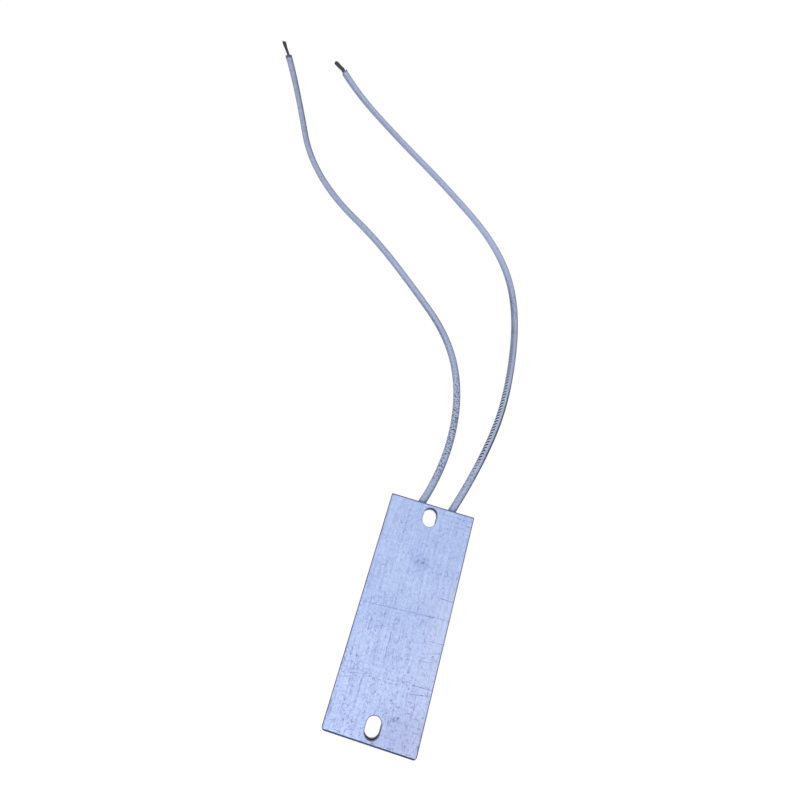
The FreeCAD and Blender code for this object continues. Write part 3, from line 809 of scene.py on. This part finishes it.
@dataclass(frozen=True)
class BraidFinish:
    """Glass-fibre braid: pale blue-grey yarns, painted shade between them, on the sleeve's sides and in its
    mouth, and darker flecked stretches.
    """

    yarn: Colour = display(187, 202, 233)
    cool: Colour = display(170, 191, 218)
    lilac: Colour = display(168, 174, 222)
    # Colour of the painted shade in the hollows between the yarns.
    gap: Colour = display(78, 86, 116)
    # Dark colour of the painted shade on the sleeve's sides and at its mouth, and of the darker stretches
    # and mottling.
    soil_and_shade: Colour = display(46, 52, 82)
    dash: Colour = display(14, 18, 44)
    clean: Colour = display(208, 219, 238)
    girth: float = 8.2
    fibre_stretch: Triple = (9.0, 9.0, 2.0)
    fibre_depth: float = 0.03 * MM
    fleck_step: float = 1.22
    fleck_rows: float = 4.2
    fleck_zone: float = 0.14

    def material(self) -> bpy.types.Material:
        """Build the finish, which reads the attributes and the UV map of the braid.

        Returns:
            The material for the leads.
        """
        bench = ShaderBench("glass_braid")
        turn, run, _ = bench.parts(bench.node("ShaderNodeUVMap", {"uv_map": "UVMap"}, {}).outputs[0])
        flat = {0: turn * self.girth, 1: run / MM, 2: 0.0}
        unrolled = bench.node("ShaderNodeCombineXYZ", {}, flat).outputs[0]
        shade = self.attribute(bench, "shade")
        patch = bench.noise(0.35, 2.0)
        colour = self.flecks(bench, self.yarns(bench), turn, run, patch)
        dotted = self.attribute(bench, "dotted") * (1.0 + patch * 1.5) + shade * 0.3
        specks = bench.specks(1.3, 0.42, 0.8, unrolled, "2D") * dotted.clipped()
        colour = bench.mix(specks, colour, self.dash)
        # Painted shade on the sleeve's sides.
        colour = bench.mix(self.flank_shade(bench, unrolled, patch), colour, self.soil_and_shade)
        mottle = bench.noise(1.3, 2.0, unrolled).ramp(-0.02, 0.2) * 0.1
        # Painted shade at the sleeve's open end, on top of the darker stretches and mottling.
        dim = (mottle + shade * 0.45 + self.attribute(bench, "rim_shade") * 0.75).at_most(0.9)
        colour = bench.mix(dim, colour, self.soil_and_shade)
        fibres = bench.noise(1.0, 2.0, bench.stretched(self.fibre_stretch))
        bench.bump(0.5 + fibres * 0.8, self.fibre_depth, 0.5)
        return bench.finish(Base_Color=colour, Roughness=0.82, Sheen_Weight=0.15)

    def yarns(self, bench: ShaderBench) -> Socket:
        """Colour of the clean braid, with painted shade in the hollows between its yarns.

        Args:
            bench: the material.

        Returns:
            The colour.
        """
        # Painted shade in the hollows of the weave's relief.
        hollow = (1.0 - self.attribute(bench, "relief")).ramp(0.3, 1.0)
        colour = bench.mix((0.5 + bench.noise(0.22, 3.0) * 2.2).clipped(), self.cool, self.lilac)
        colour = bench.mix((0.5 + bench.noise(4.0, 3.0) * 1.2).clipped(), colour, self.yarn)
        return bench.mix(hollow * 0.5, colour, self.gap)

    def flecks(
        self, bench: ShaderBench, colour: Socket, turn: Signal, run: Signal, patch: Signal
    ) -> Socket:
        """Add the flecks: short slanted dashes in a row along the sleeve's left shoulder.

        Args:
            bench: the material.
            colour: colour of the braid without them.
            turn: angle round the sleeve as a share of a full turn.
            run: distance along it in metres.
            patch: uneven variation.

        Returns:
            The colour with them.
        """
        steps = run / (self.fleck_step * MM) - turn * self.fleck_rows
        row = abs(turn - self.fleck_zone).ramp(0.07, 0.1, 1.0, 0.0)
        flecked = (self.attribute(bench, "flecked") * (1.2 + patch)).clipped()
        colour = bench.mix(row * flecked * 0.7, colour, self.clean)
        return bench.mix(steps.pulse(0.2, 0.3) * row * flecked, colour, self.dash)

    def flank_shade(self, bench: ShaderBench, unrolled: Socket, patch: Signal) -> Signal:
        """Painted shade on the sleeve's two sides, each as strong as its own attribute says.

        Args:
            bench: the material.
            unrolled: place on the sleeve as if it were cut open and laid flat, in millimetres.
            patch: uneven variation.

        Returns:
            How dark it makes the braid.
        """
        sideways, _, upward = bench.normal
        # Painted shade on the right and left sides, as strong as the edge attributes say.
        right = sideways.ramp(0.0, 0.4) * (0.25 + self.attribute(bench, "right_edge") * 0.75)
        left = sideways.ramp(0.0, -0.4) * (0.2 + self.attribute(bench, "left_edge") * 0.7)
        uneven = 0.95 + patch * 0.6 + bench.noise(1.1, 1.0, unrolled) * 1.1
        return (upward.ramp(0.96, 0.62) * (right + left) * uneven).clipped(0.0, 0.95)

    def attribute(self, bench: ShaderBench, name: str) -> Signal:
        """A number stored on the mesh.

        Args:
            bench: the material.
            name: the attribute's name.

        Returns:
            Its value.
        """
        node = bench.node("ShaderNodeAttribute", {"attribute_name": name}, {})
        return Signal(bench, node.outputs["Fac"])


@dataclass(frozen=True)
class PlainBraidFinish:
    """The same braid on the stretch that the cement grips, woven in its texture alone, with painted shade
    between the yarns.
    """

    yarn: Colour = display(176, 188, 212)
    # Colour of the painted shade between the woven yarns.
    gap: Colour = display(100, 106, 132)
    fineness: Triple = (0.6, 0.6, 0.6)
    weave_depth: float = 0.08 * MM

    def material(self) -> bpy.types.Material:
        """Build the finish.

        Returns:
            The material for the gripped sleeves.
        """
        bench = ShaderBench("gripped_braid")
        settings = {"wave_type": "BANDS", "bands_direction": "X"}
        bands = []
        for turn in (45.0, -45.0):
            place = bench.stretched(self.fineness, turn)
            sockets = {"Scale": 1.0, "Distortion": 0.4, "Vector": place}
            bands.append(Signal(bench, bench.node("ShaderNodeTexWave", settings, sockets).outputs[1]))
        weave = bands[0] * bands[1]
        bench.bump(weave, self.weave_depth, 0.8)
        # Painted shade between the yarns of the weave.
        return bench.finish(Base_Color=bench.mix(weave, self.gap, self.yarn), Roughness=0.85)


def put_grid(name: str, points: np.ndarray, lengths: np.ndarray) -> bpy.types.Object:
    """A closed tube from a grid of points: row i is a ring, and each end is closed by a fan.

    Args:
        name: the piece's name.
        points: rings by points by three.
        lengths: distance of each ring along the piece, for its UV map.

    Returns:
        The piece, linked to the scene.
    """
    rings, around, _ = points.shape
    ends = np.stack([points[0].mean(axis=0), points[-1].mean(axis=0)])
    verts = np.concatenate([points.reshape(-1, 3), ends])
    row, col = np.meshgrid(np.arange(rings - 1), np.arange(around), indexing="ij")
    ahead = (col + 1) % around
    quads = np.stack(
        [row * around + col, row * around + ahead, (row + 1) * around + ahead, (row + 1) * around + col],
        axis=-1,
    ).reshape(-1, 4)
    step = np.arange(around)
    after = (step + 1) % around
    last = (rings - 1) * around
    first_fan = np.stack([after, step, np.full(around, rings * around)], axis=-1)
    last_fan = np.stack([last + step, last + after, np.full(around, rings * around + 1)], axis=-1)
    corners = np.concatenate([quads.ravel(), first_fan.ravel(), last_fan.ravel()])
    counts = np.concatenate([np.full(len(quads), 4), np.full(2 * around, 3)])
    mesh = bpy.data.meshes.new(name)
    mesh.vertices.add(len(verts))
    mesh.vertices.foreach_set("co", verts.astype(np.float32).ravel())
    mesh.loops.add(len(corners))
    mesh.loops.foreach_set("vertex_index", corners.astype(np.int32))
    mesh.polygons.add(len(counts))
    starts = np.concatenate([[0], np.cumsum(counts)[:-1]])
    mesh.polygons.foreach_set("loop_start", starts.astype(np.int32))
    mesh.polygons.foreach_set("use_smooth", np.ones(len(counts), bool))
    mesh.update(calc_edges=True)
    turn = np.concatenate([np.tile(np.arange(around) / around, rings), [0.5, 0.5]])
    reach = np.concatenate([np.repeat(lengths, around), [lengths[0], lengths[-1]]])
    shares = np.stack([turn[corners], reach[corners]], axis=-1)
    of_quads = shares[: quads.size].reshape(-1, 4, 2)
    of_quads[ahead.ravel() == 0, 1:3, 0] = 1.0
    mesh.uv_layers.new(name="UVMap").data.foreach_set("uv", shares.astype(np.float32).ravel())
    mesh.validate()
    piece = bpy.data.objects.new(name, mesh)
    bpy.context.scene.collection.objects.link(piece)
    return piece


def put_attribute(piece: bpy.types.Object, name: str, values: np.ndarray) -> None:
    """Store one number per point of a grid piece; its two end points take the nearest ring's mean.

    Args:
        piece: a piece made by put_grid.
        name: the attribute's name.
        values: rings by points.
    """
    ends = [values[0].mean(), values[-1].mean()]
    attribute = piece.data.attributes.new(name, "FLOAT", "POINT")
    attribute.data.foreach_set("value", np.concatenate([values.ravel(), ends]).astype(np.float32))


def spokes(left: np.ndarray, up: np.ndarray, turn: np.ndarray) -> np.ndarray:
    """Directions round a line: the cosine of the angle times left plus its sine times up.

    Args:
        left: direction to the left at each point of the line.
        up: direction up at each.
        turn: angles as shares of a full turn.

    Returns:
        Points of the line by angles by three.
    """
    angle = 2 * np.pi * turn[None, :, None]
    return np.cos(angle) * left[:, None, :] + np.sin(angle) * up[:, None, :]


@dataclass
class Line:
    """A smooth line in space, with a frame at each of its points."""

    points: np.ndarray
    frame_span: float = 0.4 * MM

    @classmethod
    def through(cls, name: str, corners: list[Triple]) -> "Line":
        """The line of a NURBS spline that has the given control points.

        Args:
            name: name of the spline while it is read.
            corners: control points in metres.

        Returns:
            Its points, close together.
        """
        curve = bpy.data.curves.new(name, "CURVE")
        curve.dimensions = "3D"
        curve.resolution_u = 48
        spline = curve.splines.new("NURBS")
        spline.points.add(len(corners) - 1)
        spline.points.foreach_set("co", np.array([(*corner, 1.0) for corner in corners]).ravel())
        spline.order_u = 3
        spline.use_endpoint_u = True
        holder = bpy.data.objects.new(name, curve)
        mesh = bpy.data.meshes.new_from_object(holder)
        found = np.zeros(len(mesh.vertices) * 3)
        mesh.vertices.foreach_get("co", found)
        bpy.data.meshes.remove(mesh)
        bpy.data.objects.remove(holder)
        bpy.data.curves.remove(curve)
        return cls(found.reshape(-1, 3))

    def distances(self) -> np.ndarray:
        """Distance of each point along the line."""
        runs = np.linalg.norm(np.diff(self.points, axis=0), axis=1)
        return np.concatenate([[0.0], np.cumsum(runs)])

    def length(self) -> float:
        """Whole length."""
        return float(self.distances()[-1])

    def at(self, places: np.ndarray) -> np.ndarray:
        """Points at the given distances; beyond either end the line goes straight on.

        Args:
            places: distances along the line.

        Returns:
            One point for each.
        """
        along = self.distances()
        inside = np.clip(places, 0.0, along[-1])
        found = np.stack([np.interp(inside, along, self.points[:, axis]) for axis in range(3)], axis=-1)
        past = (places - inside)[:, None]
        last = self.points[-1] - self.points[-2]
        first = self.points[1] - self.points[0]
        ahead = np.where(past > 0, last / np.linalg.norm(last), first / np.linalg.norm(first))
        return found + past * ahead

    def frames(self, places: np.ndarray) -> tuple[np.ndarray, np.ndarray, np.ndarray]:
        """Middle, left and up directions at the given distances, up being nearly vertical.

        Args:
            places: distances along the line.

        Returns:
            Points, directions to the left and directions up.
        """
        ahead = self.at(places + self.frame_span) - self.at(places - self.frame_span)
        ahead /= np.linalg.norm(ahead, axis=1, keepdims=True)
        left = np.cross(np.array([0.0, 0.0, 1.0]), ahead)
        left /= np.linalg.norm(left, axis=1, keepdims=True)
        return self.at(places), left, np.cross(ahead, left)


Profile = list[tuple[float, float]]


@dataclass(frozen=True)
class Wear:
    """How darkness, painted shade and pattern change along a sleeve: pairs of a distance in millimetres and
    a strength.
    """

    shade: Profile
    # Strength of the painted shade on the sleeve's left and right sides.
    left_edge: Profile
    right_edge: Profile
    flecked: Profile
    dotted: Profile
    # Painted shade over the sleeve's last millimetres and inside its turned-in end.
    rim_shade: float = 1.0
    rim_blend: float = 0.8

    def stamp(self, piece: bpy.types.Object, run: np.ndarray, around: int, tail: int) -> None:
        """Store every profile on a sleeve as an attribute of its own name.

        Args:
            piece: the sleeve.
            run: distance of each outer ring along it, in millimetres.
            around: points in a ring.
            tail: rings of the turned-in end, which come after the outer ones.
        """
        for name in ("shade", "left_edge", "right_edge", "flecked", "dotted"):
            places, strengths = np.array(getattr(self, name)).T
            values = np.concatenate([np.interp(run, places, strengths), np.zeros(tail)])
            put_attribute(piece, name, np.tile(values, (around, 1)).T)
        # Painted shade fading in towards the open end, full on the turned-in rings.
        dark = np.clip((run - run[-1] + self.rim_shade) / self.rim_blend, 0, 1)
        put_attribute(piece, "rim_shade", np.tile(np.concatenate([dark, np.ones(tail)]), (around, 1)).T)


@dataclass
class Lead:
    """One lead: a braided sleeve along its route and the bare strands at its end."""

    side: str
    route: list[tuple[float, float]]
    length: float
    strands_length: float
    bundle: list[Triple]
    seed: int
    wear: Wear
    flap: float = 0.0
    ears: float = 0.0
    shell_end: float = 35.0
    middle_height: float = 2.25
    seal_recess: float = 0.4
    floor_gap: float = 0.05
    diameter: float = 2.8
    sleeve_radius: float = 1.3
    carriers: int = 8
    weave_step: float = 0.9
    relief_depth: float = 0.1
    around: int = 56
    rings: int = 1480
    flare: float = 0.16
    flare_reach: float = 26.0
    flap_angle: float = 0.75 * math.pi
    flap_width: float = 0.42
    lip_reach: float = 3.0
    lip_depths: tuple[float, ...] = (-0.08, -0.14, -0.02, 0.5, 1.6, 3.0)
    lip_radii: tuple[float, ...] = (0.97, 0.85, 0.72, 0.66, 0.62, 0.62)
    strand_radius: float = 0.15
    strand_layers: tuple[tuple[int, float], ...] = ((1, 0.0), (6, 0.5), (12, 1.0))
    strand_start: float = -2.5
    strand_rings: int = 26
    strand_sides: int = 8
    strand_tip: float = 0.6
    shortening: float = 0.05
    stray: float = 0.18
    loosening: float = 0.15
    loose_from: float = 2.0
    twist: float = 0.2

    def corners(self) -> list[Triple]:
        """Control points of the route, from the seal's face to the sleeve's end.

        Returns:
            The points in metres.
        """
        lying = self.diameter / 2 + self.floor_gap
        heights = [self.middle_height] * 2 + [lying] * (len(self.route) - 2)
        points = [(x, self.shell_end + out, z) for (x, out), z in zip(self.route, heights)]
        (x0, y0, z0), (x1, y1, _) = points[:2]
        share = self.seal_recess / (y1 - y0)
        points[0] = (x0 - (x1 - x0) * share, y0 - self.seal_recess, z0)
        return [tuple(value * MM for value in point) for point in points]

    def build(self, braid: bpy.types.Material, copper: bpy.types.Material) -> None:
        """Args:
            braid: finish of the sleeve.
            copper: finish of the strands.
        """
        line = Line.through(f"{self.side}_route", self.corners())
        sleeve = self.make_sleeve(line)
        sleeve.data.materials.append(braid)
        strands = self.make_strands(line)
        strands.data.materials.append(copper)
        for piece, node, slot in (
            (sleeve, f"{self.side}_lead", "glass_braid"),
            (strands, f"{self.side}_bare_strands", "stranded_copper"),
        ):
            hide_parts(node)
            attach(piece, "root")
        LOG.info("%s lead: sleeve %.1f mm", self.side, line.length() / MM)

    def weave(self, turn: np.ndarray, run: np.ndarray) -> np.ndarray:
        """Height of the braid. Two sets of yarns cross as opposite helices. Each yarn's section is a
        half ellipse, and at each crossing one set lies over the other, by turns, as in a plain weave.

        Args:
            turn: angle round the sleeve as a share of a full turn.
            run: distance along the sleeve in millimetres.

        Returns:
            Relief from 0 to 1.
        """
        rising = self.carriers * turn + run / (2 * self.weave_step)
        falling = self.carriers * turn - run / (2 * self.weave_step)
        first = np.sqrt(np.clip(1 - (2 * (rising % 1) - 1) ** 2, 0, 1))
        second = np.sqrt(np.clip(1 - (2 * (falling % 1) - 1) ** 2, 0, 1))
        over = np.sin(np.pi * (rising - 0.5)) * np.sin(np.pi * (falling - 0.5))
        lift = 0.25 * np.tanh(3 * over)
        return np.clip(np.maximum(first * 0.75 + lift, second * 0.75 - lift), 0, 1)

    def make_sleeve(self, line: Line) -> bpy.types.Object:
        """Braided tube along the route. Ring i, point j lies at the route's point plus the radius
        times the spoke at its angle. The radius is the sleeve's, less the depth of the weave, plus a
        flare near the free end. The end turns in and closes inside.

        Args:
            line: the route.

        Returns:
            The sleeve.
        """
        total = line.length() / MM
        run = np.linspace(0.0, total, self.rings)
        turn = np.arange(self.around) / self.around
        relief = self.weave(turn[None, :], run[:, None])
        flare = 1 + self.flare * np.clip((run - total + self.flare_reach) / self.flare_reach, 0, 1)
        radius = self.sleeve_radius * flare[:, None] - self.relief_depth * (1 - relief)
        middle, left, up = line.frames(run * MM)
        lift = np.clip(self.sleeve_radius * flare - self.diameter / 2, 0, 1) * MM
        middle = middle + np.outer(lift, (0, 0, 1))
        directions = spokes(left, up, turn)
        outer = middle[:, None, :] + directions * (radius * MM)[:, :, None]
        ahead = self.heading(line)
        near_end = np.clip((run - total + self.lip_reach) / self.lip_reach, 0, 1) ** 2
        outer = outer + (near_end[:, None] * self.torn(turn))[:, :, None] * ahead * MM
        depths = np.array(self.lip_depths)[:, None, None] * MM
        radii = np.array(self.lip_radii)[:, None, None] * radius[-1].mean() * MM
        inside = middle[-1] - ahead * depths + directions[-1] * radii
        lengths = np.concatenate([run, np.full(len(inside), total)]) * MM
        piece = put_grid(f"{self.side}_braided_sleeve", np.concatenate([outer, inside]), lengths)
        tail = np.full((len(inside), self.around), 0.2)
        put_attribute(piece, "relief", np.concatenate([relief, tail]))
        self.wear.stamp(piece, run, self.around, len(inside))
        return piece

    def torn(self, turn: np.ndarray) -> np.ndarray:
        """How far the sleeve's end reaches out: a bell-shaped flap at one angle, and two ears at the
        sides that go as the fourth power of the cosine.

        Args:
            turn: angle round the sleeve as a share of a full turn.

        Returns:
            Millimetres at each angle.
        """
        angle = 2 * np.pi * turn
        flap = np.exp(-(((angle - self.flap_angle) / self.flap_width) ** 2)) * self.flap
        return flap + self.ears * np.cos(angle) ** 4

    def heading(self, line: Line) -> np.ndarray:
        """Direction of the route at its free end."""
        ahead = line.points[-1] - line.points[-2]
        return ahead / np.linalg.norm(ahead)

    def make_strands(self, line: Line) -> bpy.types.Object:
        """Fine wires of the conductor, laid in rings of one, six and twelve that twist round each
        other, and that spread and shift as the bundle's outline says.

        Args:
            line: the route, whose last run the wires go on from.

        Returns:
            All the wires as one piece.
        """
        draw = np.random.default_rng(self.seed)
        along, aside_at, radius_at = np.array(self.bundle).T
        total = line.length()
        lift = self.sleeve_radius * (1 + self.flare) - self.diameter / 2
        turn = np.arange(self.strand_sides) / self.strand_sides
        taper = np.full(self.strand_rings, self.strand_radius * MM)
        taper[-1] *= self.strand_tip
        wires = []
        for count, reach in self.strand_layers:
            for start in 2 * np.pi * np.arange(count) / count:
                tip = self.strands_length * (1 - self.shortening * draw.random())
                run = np.linspace(self.strand_start, tip, self.strand_rings)
                radius = np.interp(run, along, radius_at)
                aside = np.interp(run, along, aside_at)
                wander = self.stray * draw.normal() * np.clip(run / self.strands_length, 0, 1) ** 2
                lay = start + run * self.twist + wander
                loose = 1 + self.loosening * draw.normal() * (run > self.loose_from)
                spread = reach * (radius - self.strand_radius) * loose
                middle, left, up = line.frames(total + run * MM)
                middle = middle + left * (aside + spread * np.cos(lay))[:, None] * MM
                middle = middle + up * (lift + spread * np.sin(lay))[:, None] * MM
                points = middle[:, None, :] + spokes(left, up, turn) * taper[:, None, None]
                wires.append(put_grid(f"{self.side}_wire", points, run * MM))
        LOG.info("%s bare end: %d wires", self.side, len(wires))
        return join(wires, f"{self.side}_conductor_strands")


def join(pieces: list[bpy.types.Object], name: str) -> bpy.types.Object:
    """Make one piece of several.

    Args:
        pieces: the pieces, which are used up.
        name: the new piece's name.

    Returns:
        The joined piece.
    """
    with bpy.context.temp_override(active_object=pieces[0], selected_editable_objects=pieces):
        bpy.ops.object.join()
    pieces[0].name = name
    pieces[0].data.name = name
    return pieces[0]


@dataclass
class Construction:
    """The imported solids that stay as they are, each group with its finish."""

    groups: dict[str, list[str]] = field(
        default_factory=lambda: {
            "shell": ["shell"],
            "cement": ["lead_end_seal", "blind_end_seal"],
            "mica": [
                "upper_mica_sheet",
                "lower_mica_sheet",
                "left_edge_strip",
                "right_edge_strip",
                "centre_strip",
                "left_winding_card",
                "right_winding_card",
            ],
            "alloy": ["resistance_wire"],
            "plated": ["left_crimp", "right_crimp"],
            "copper": ["left_conductor", "right_conductor"],
            "braid": ["left_gripped_sleeve", "right_gripped_sleeve"],
        }
    )

    def dress(self, nodes: dict[str, bpy.types.Object], finishes: dict[str, bpy.types.Material]) -> None:
        """Give each solid its finish.

        Args:
            nodes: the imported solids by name.
            finishes: materials by group.
        """
        for group, names in self.groups.items():
            for name in names:
                slots = nodes[name].material_slots
                if not slots:
                    nodes[name].data.materials.append(finishes[group])
                for slot in slots:
                    slot.material = finishes[group]
            LOG.info("%s: %d solids", group, len(names))


@dataclass(frozen=True)
class Studio:
    """Floor, light and camera."""

    camera_place: Triple = (-10.317, -0.582, 177.708)
    camera_turn: Triple = (21.414, -3.007, 16.436)
    focal_pixels: float = 530.0
    floor_side: float = 6.0
    background: float = 0.96
    floor_tone: float = 0.08
    world_strength: float = 0.62
    key_strength: float = 1.15
    key_turn: Triple = (38.0, -30.0, 0.0)
    key_spread: float = 35.0

    def build(self) -> None:
        """Make everything and report each piece."""
        for make in (self.place_camera, self.lay_floor, self.light_world, self.light_key):
            make()
            LOG.info("studio: %s", make.__name__)

    def place_camera(self) -> None:
        """Camera at the photograph's place, looking down at the shell from beyond its middle."""
        data = bpy.data.cameras.new("camera")
        data.sensor_width = SENSOR
        data.lens = self.focal_pixels / PHOTO_SIDE * SENSOR
        data.clip_start = 0.005
        camera = bpy.data.objects.new("camera", data)
        camera.location = Vector(self.camera_place) * MM
        camera.rotation_euler = Euler([math.radians(angle) for angle in self.camera_turn])
        bpy.context.scene.collection.objects.link(camera)
        bpy.context.scene.camera = camera

    def lay_floor(self) -> None:
        """Pale floor that is white to the camera and in reflections, and takes a faint shadow."""
        side = self.floor_side / 2
        corners = [(-side, -side, 0), (side, -side, 0), (side, side, 0), (-side, side, 0)]
        mesh = bpy.data.meshes.new("floor")
        mesh.from_pydata(corners, [], [(0, 1, 2, 3)])
        floor = bpy.data.objects.new("floor", mesh)
        bpy.context.scene.collection.objects.link(floor)
        bench = ShaderBench("pale_floor")
        bench.finish(Base_Color=(0.8, 0.8, 0.8), Roughness=0.9)
        faint = bench.node("ShaderNodeBsdfDiffuse", {}, {"Color": (self.floor_tone,) * 3})
        glow = bench.node("ShaderNodeEmission", {}, {"Strength": self.background})
        bright = bench.node("ShaderNodeAddShader", {}, {0: faint.outputs[0], 1: glow.outputs[0]})
        shaders = {0: bench.seen(), 1: bench.shader.outputs[0], 2: bright.outputs[0]}
        mixed = bench.node("ShaderNodeMixShader", {}, shaders).outputs[0]
        bench.node("ShaderNodeOutputMaterial", {"is_active_output": True}, {"Surface": mixed})
        mesh.materials.append(bench.material)

    def light_world(self) -> None:
        """Even white light from all round, and white where it is seen."""
        world = bpy.data.worlds.new("studio")
        world.use_nodes = True
        bpy.context.scene.world = world
        bench = NodeBench(world.node_tree)
        strength = bench.seen().ramp(0.0, 1.0, self.world_strength, 1.0)
        light = bench.node("ShaderNodeBackground", {}, {"Color": (1.0, 1.0, 1.0), "Strength": strength})
        bench.node("ShaderNodeOutputWorld", {}, {"Surface": light.outputs[0]})

    def light_key(self) -> None:
        """Soft main light from the upper left."""
        data = bpy.data.lights.new("key", "SUN")
        data.energy = self.key_strength
        data.angle = math.radians(self.key_spread)
        lamp = bpy.data.objects.new("key", data)
        lamp.rotation_euler = Euler([math.radians(angle) for angle in self.key_turn])
        bpy.context.scene.collection.objects.link(lamp)


LEFT_LEAD = Lead(
    side="left",
    route=[
        (-3.8, 0.0),
        (0.4, 13.0),
        (-0.5, 40.4),
        (-10.3, 62.9),
        (-31.5, 82.1),
        (-50.7, 97.9),
        (-73.2, 112.0),
        (-90.9, 130.6),
        (-102.5, 153.1),
        (-114.5, 174.9),
        (-120.0, 183.9),
    ],
    length=231.0,
    strands_length=11.2,
    bundle=[
        (-2.5, 0.0, 0.58),
        (0.0, 0.0, 0.6),
        (2.8, 0.0, 0.58),
        (7.5, 0.2, 0.7),
        (11.2, 0.35, 0.84),
    ],
    strand_radius=0.17,
    seed=3,
    ears=1.1,
    wear=Wear(
        shade=[
            (0, 0.1),
            (44, 0.1),
            (70, 0.2),
            (98, 0.1),
            (130, 0.3),
            (166, 0.35),
            (206, 0.45),
            (231, 0.4),
        ],
        # Painted shade on the sleeve's left and right sides along its length.
        left_edge=[(0, 0.0), (44, 0.0), (60, 0.4), (70, 0.6), (85, 0.4), (98, 0.3), (130, 0.1), (231, 0.1)],
        right_edge=[
            (0, 0.4),
            (44, 0.1),
            (70, 0.5),
            (90, 0.1),
            (140, 0.1),
            (166, 0.45),
            (206, 0.9),
            (231, 0.7),
        ],
        flecked=[(22, 0.0), (28, 0.3), (38, 0.3), (46, 0.0)],
        dotted=[(0, 0.2), (6, 0.3), (14, 0.8), (44, 0.9), (54, 0.3), (70, 0.15), (160, 0.2), (231, 0.4)],
        # Painted shade at the open end reaches 2.2 mm along the sleeve.
        rim_shade=2.2,
    ),
)

RIGHT_LEAD = Lead(
    side="right",
    route=[
        (6.4, 0.0),
        (12.2, 18.2),
        (16.1, 47.4),
        (11.5, 85.5),
        (-2.6, 110.7),
        (-30.5, 133.6),
        (-56.2, 152.0),
        (-81.9, 172.2),
        (-91.8, 182.9),
    ],
    length=230.0,
    strands_length=8.6,
    bundle=[(-2.5, 0.0, 0.78), (0.0, 0.0, 0.82), (3.2, 0.1, 0.84), (7.1, 0.8, 0.84), (8.6, 1.2, 0.78)],
    seed=8,
    wear=Wear(
        shade=[(0, 0.0), (32, 0.0), (60, 0.1), (85, 0.2), (115, 0.05), (160, 0.15), (230, 0.2)],
        # Painted shade on the sleeve's left and right sides along its length.
        left_edge=[
            (0, 0.0),
            (60, 0.0),
            (75, 0.4),
            (88, 0.6),
            (100, 0.3),
            (115, 0.0),
            (181, 0.2),
            (230, 0.4),
        ],
        right_edge=[
            (0, 0.4),
            (8, 0.7),
            (20, 1.1),
            (26, 3.0),
            (44, 2.8),
            (54, 0.8),
            (85, 0.5),
            (105, 0.1),
            (230, 0.1),
        ],
        flecked=[(14, 0.1), (24, 1.0), (66, 0.9), (85, 0.35), (100, 0.0)],
        dotted=[(0, 0.2), (12, 0.5), (24, 0.2), (70, 0.2), (85, 0.5), (110, 0.1), (230, 0.2)],
    ),
    flap=1.3,
    strand_radius=0.2,
)


def main() -> None:
    """Load the solids, dress them, add the leads and set the studio."""
    logging.basicConfig(level=logging.INFO, format="%(name)s: %(message)s")
    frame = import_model()
    bpy.context.scene.view_settings.view_transform = "Standard"
    metals = {
        "alloy": MetalFinish("resistance_alloy", display(176, 170, 162), display(120, 114, 108), 0.35),
        "plated": MetalFinish("plated_crimp", display(204, 202, 196), display(150, 148, 144), 0.3),
        "copper": MetalFinish("dark_copper", display(96, 95, 110), display(44, 46, 58), 0.55),
    }
    others = {
        "shell": ShellFinish(),
        "cement": CementFinish(),
        "mica": MicaFinish(),
        "braid": PlainBraidFinish(),
    }
    finishes = {group: finish.material() for group, finish in {**metals, **others}.items()}
    Construction().dress(frame["nodes"], finishes)
    braid = BraidFinish().material()
    for lead in (LEFT_LEAD, RIGHT_LEAD):
        lead.build(braid, finishes["copper"])
    Studio().build()


if __name__ == "__main__":
    main()
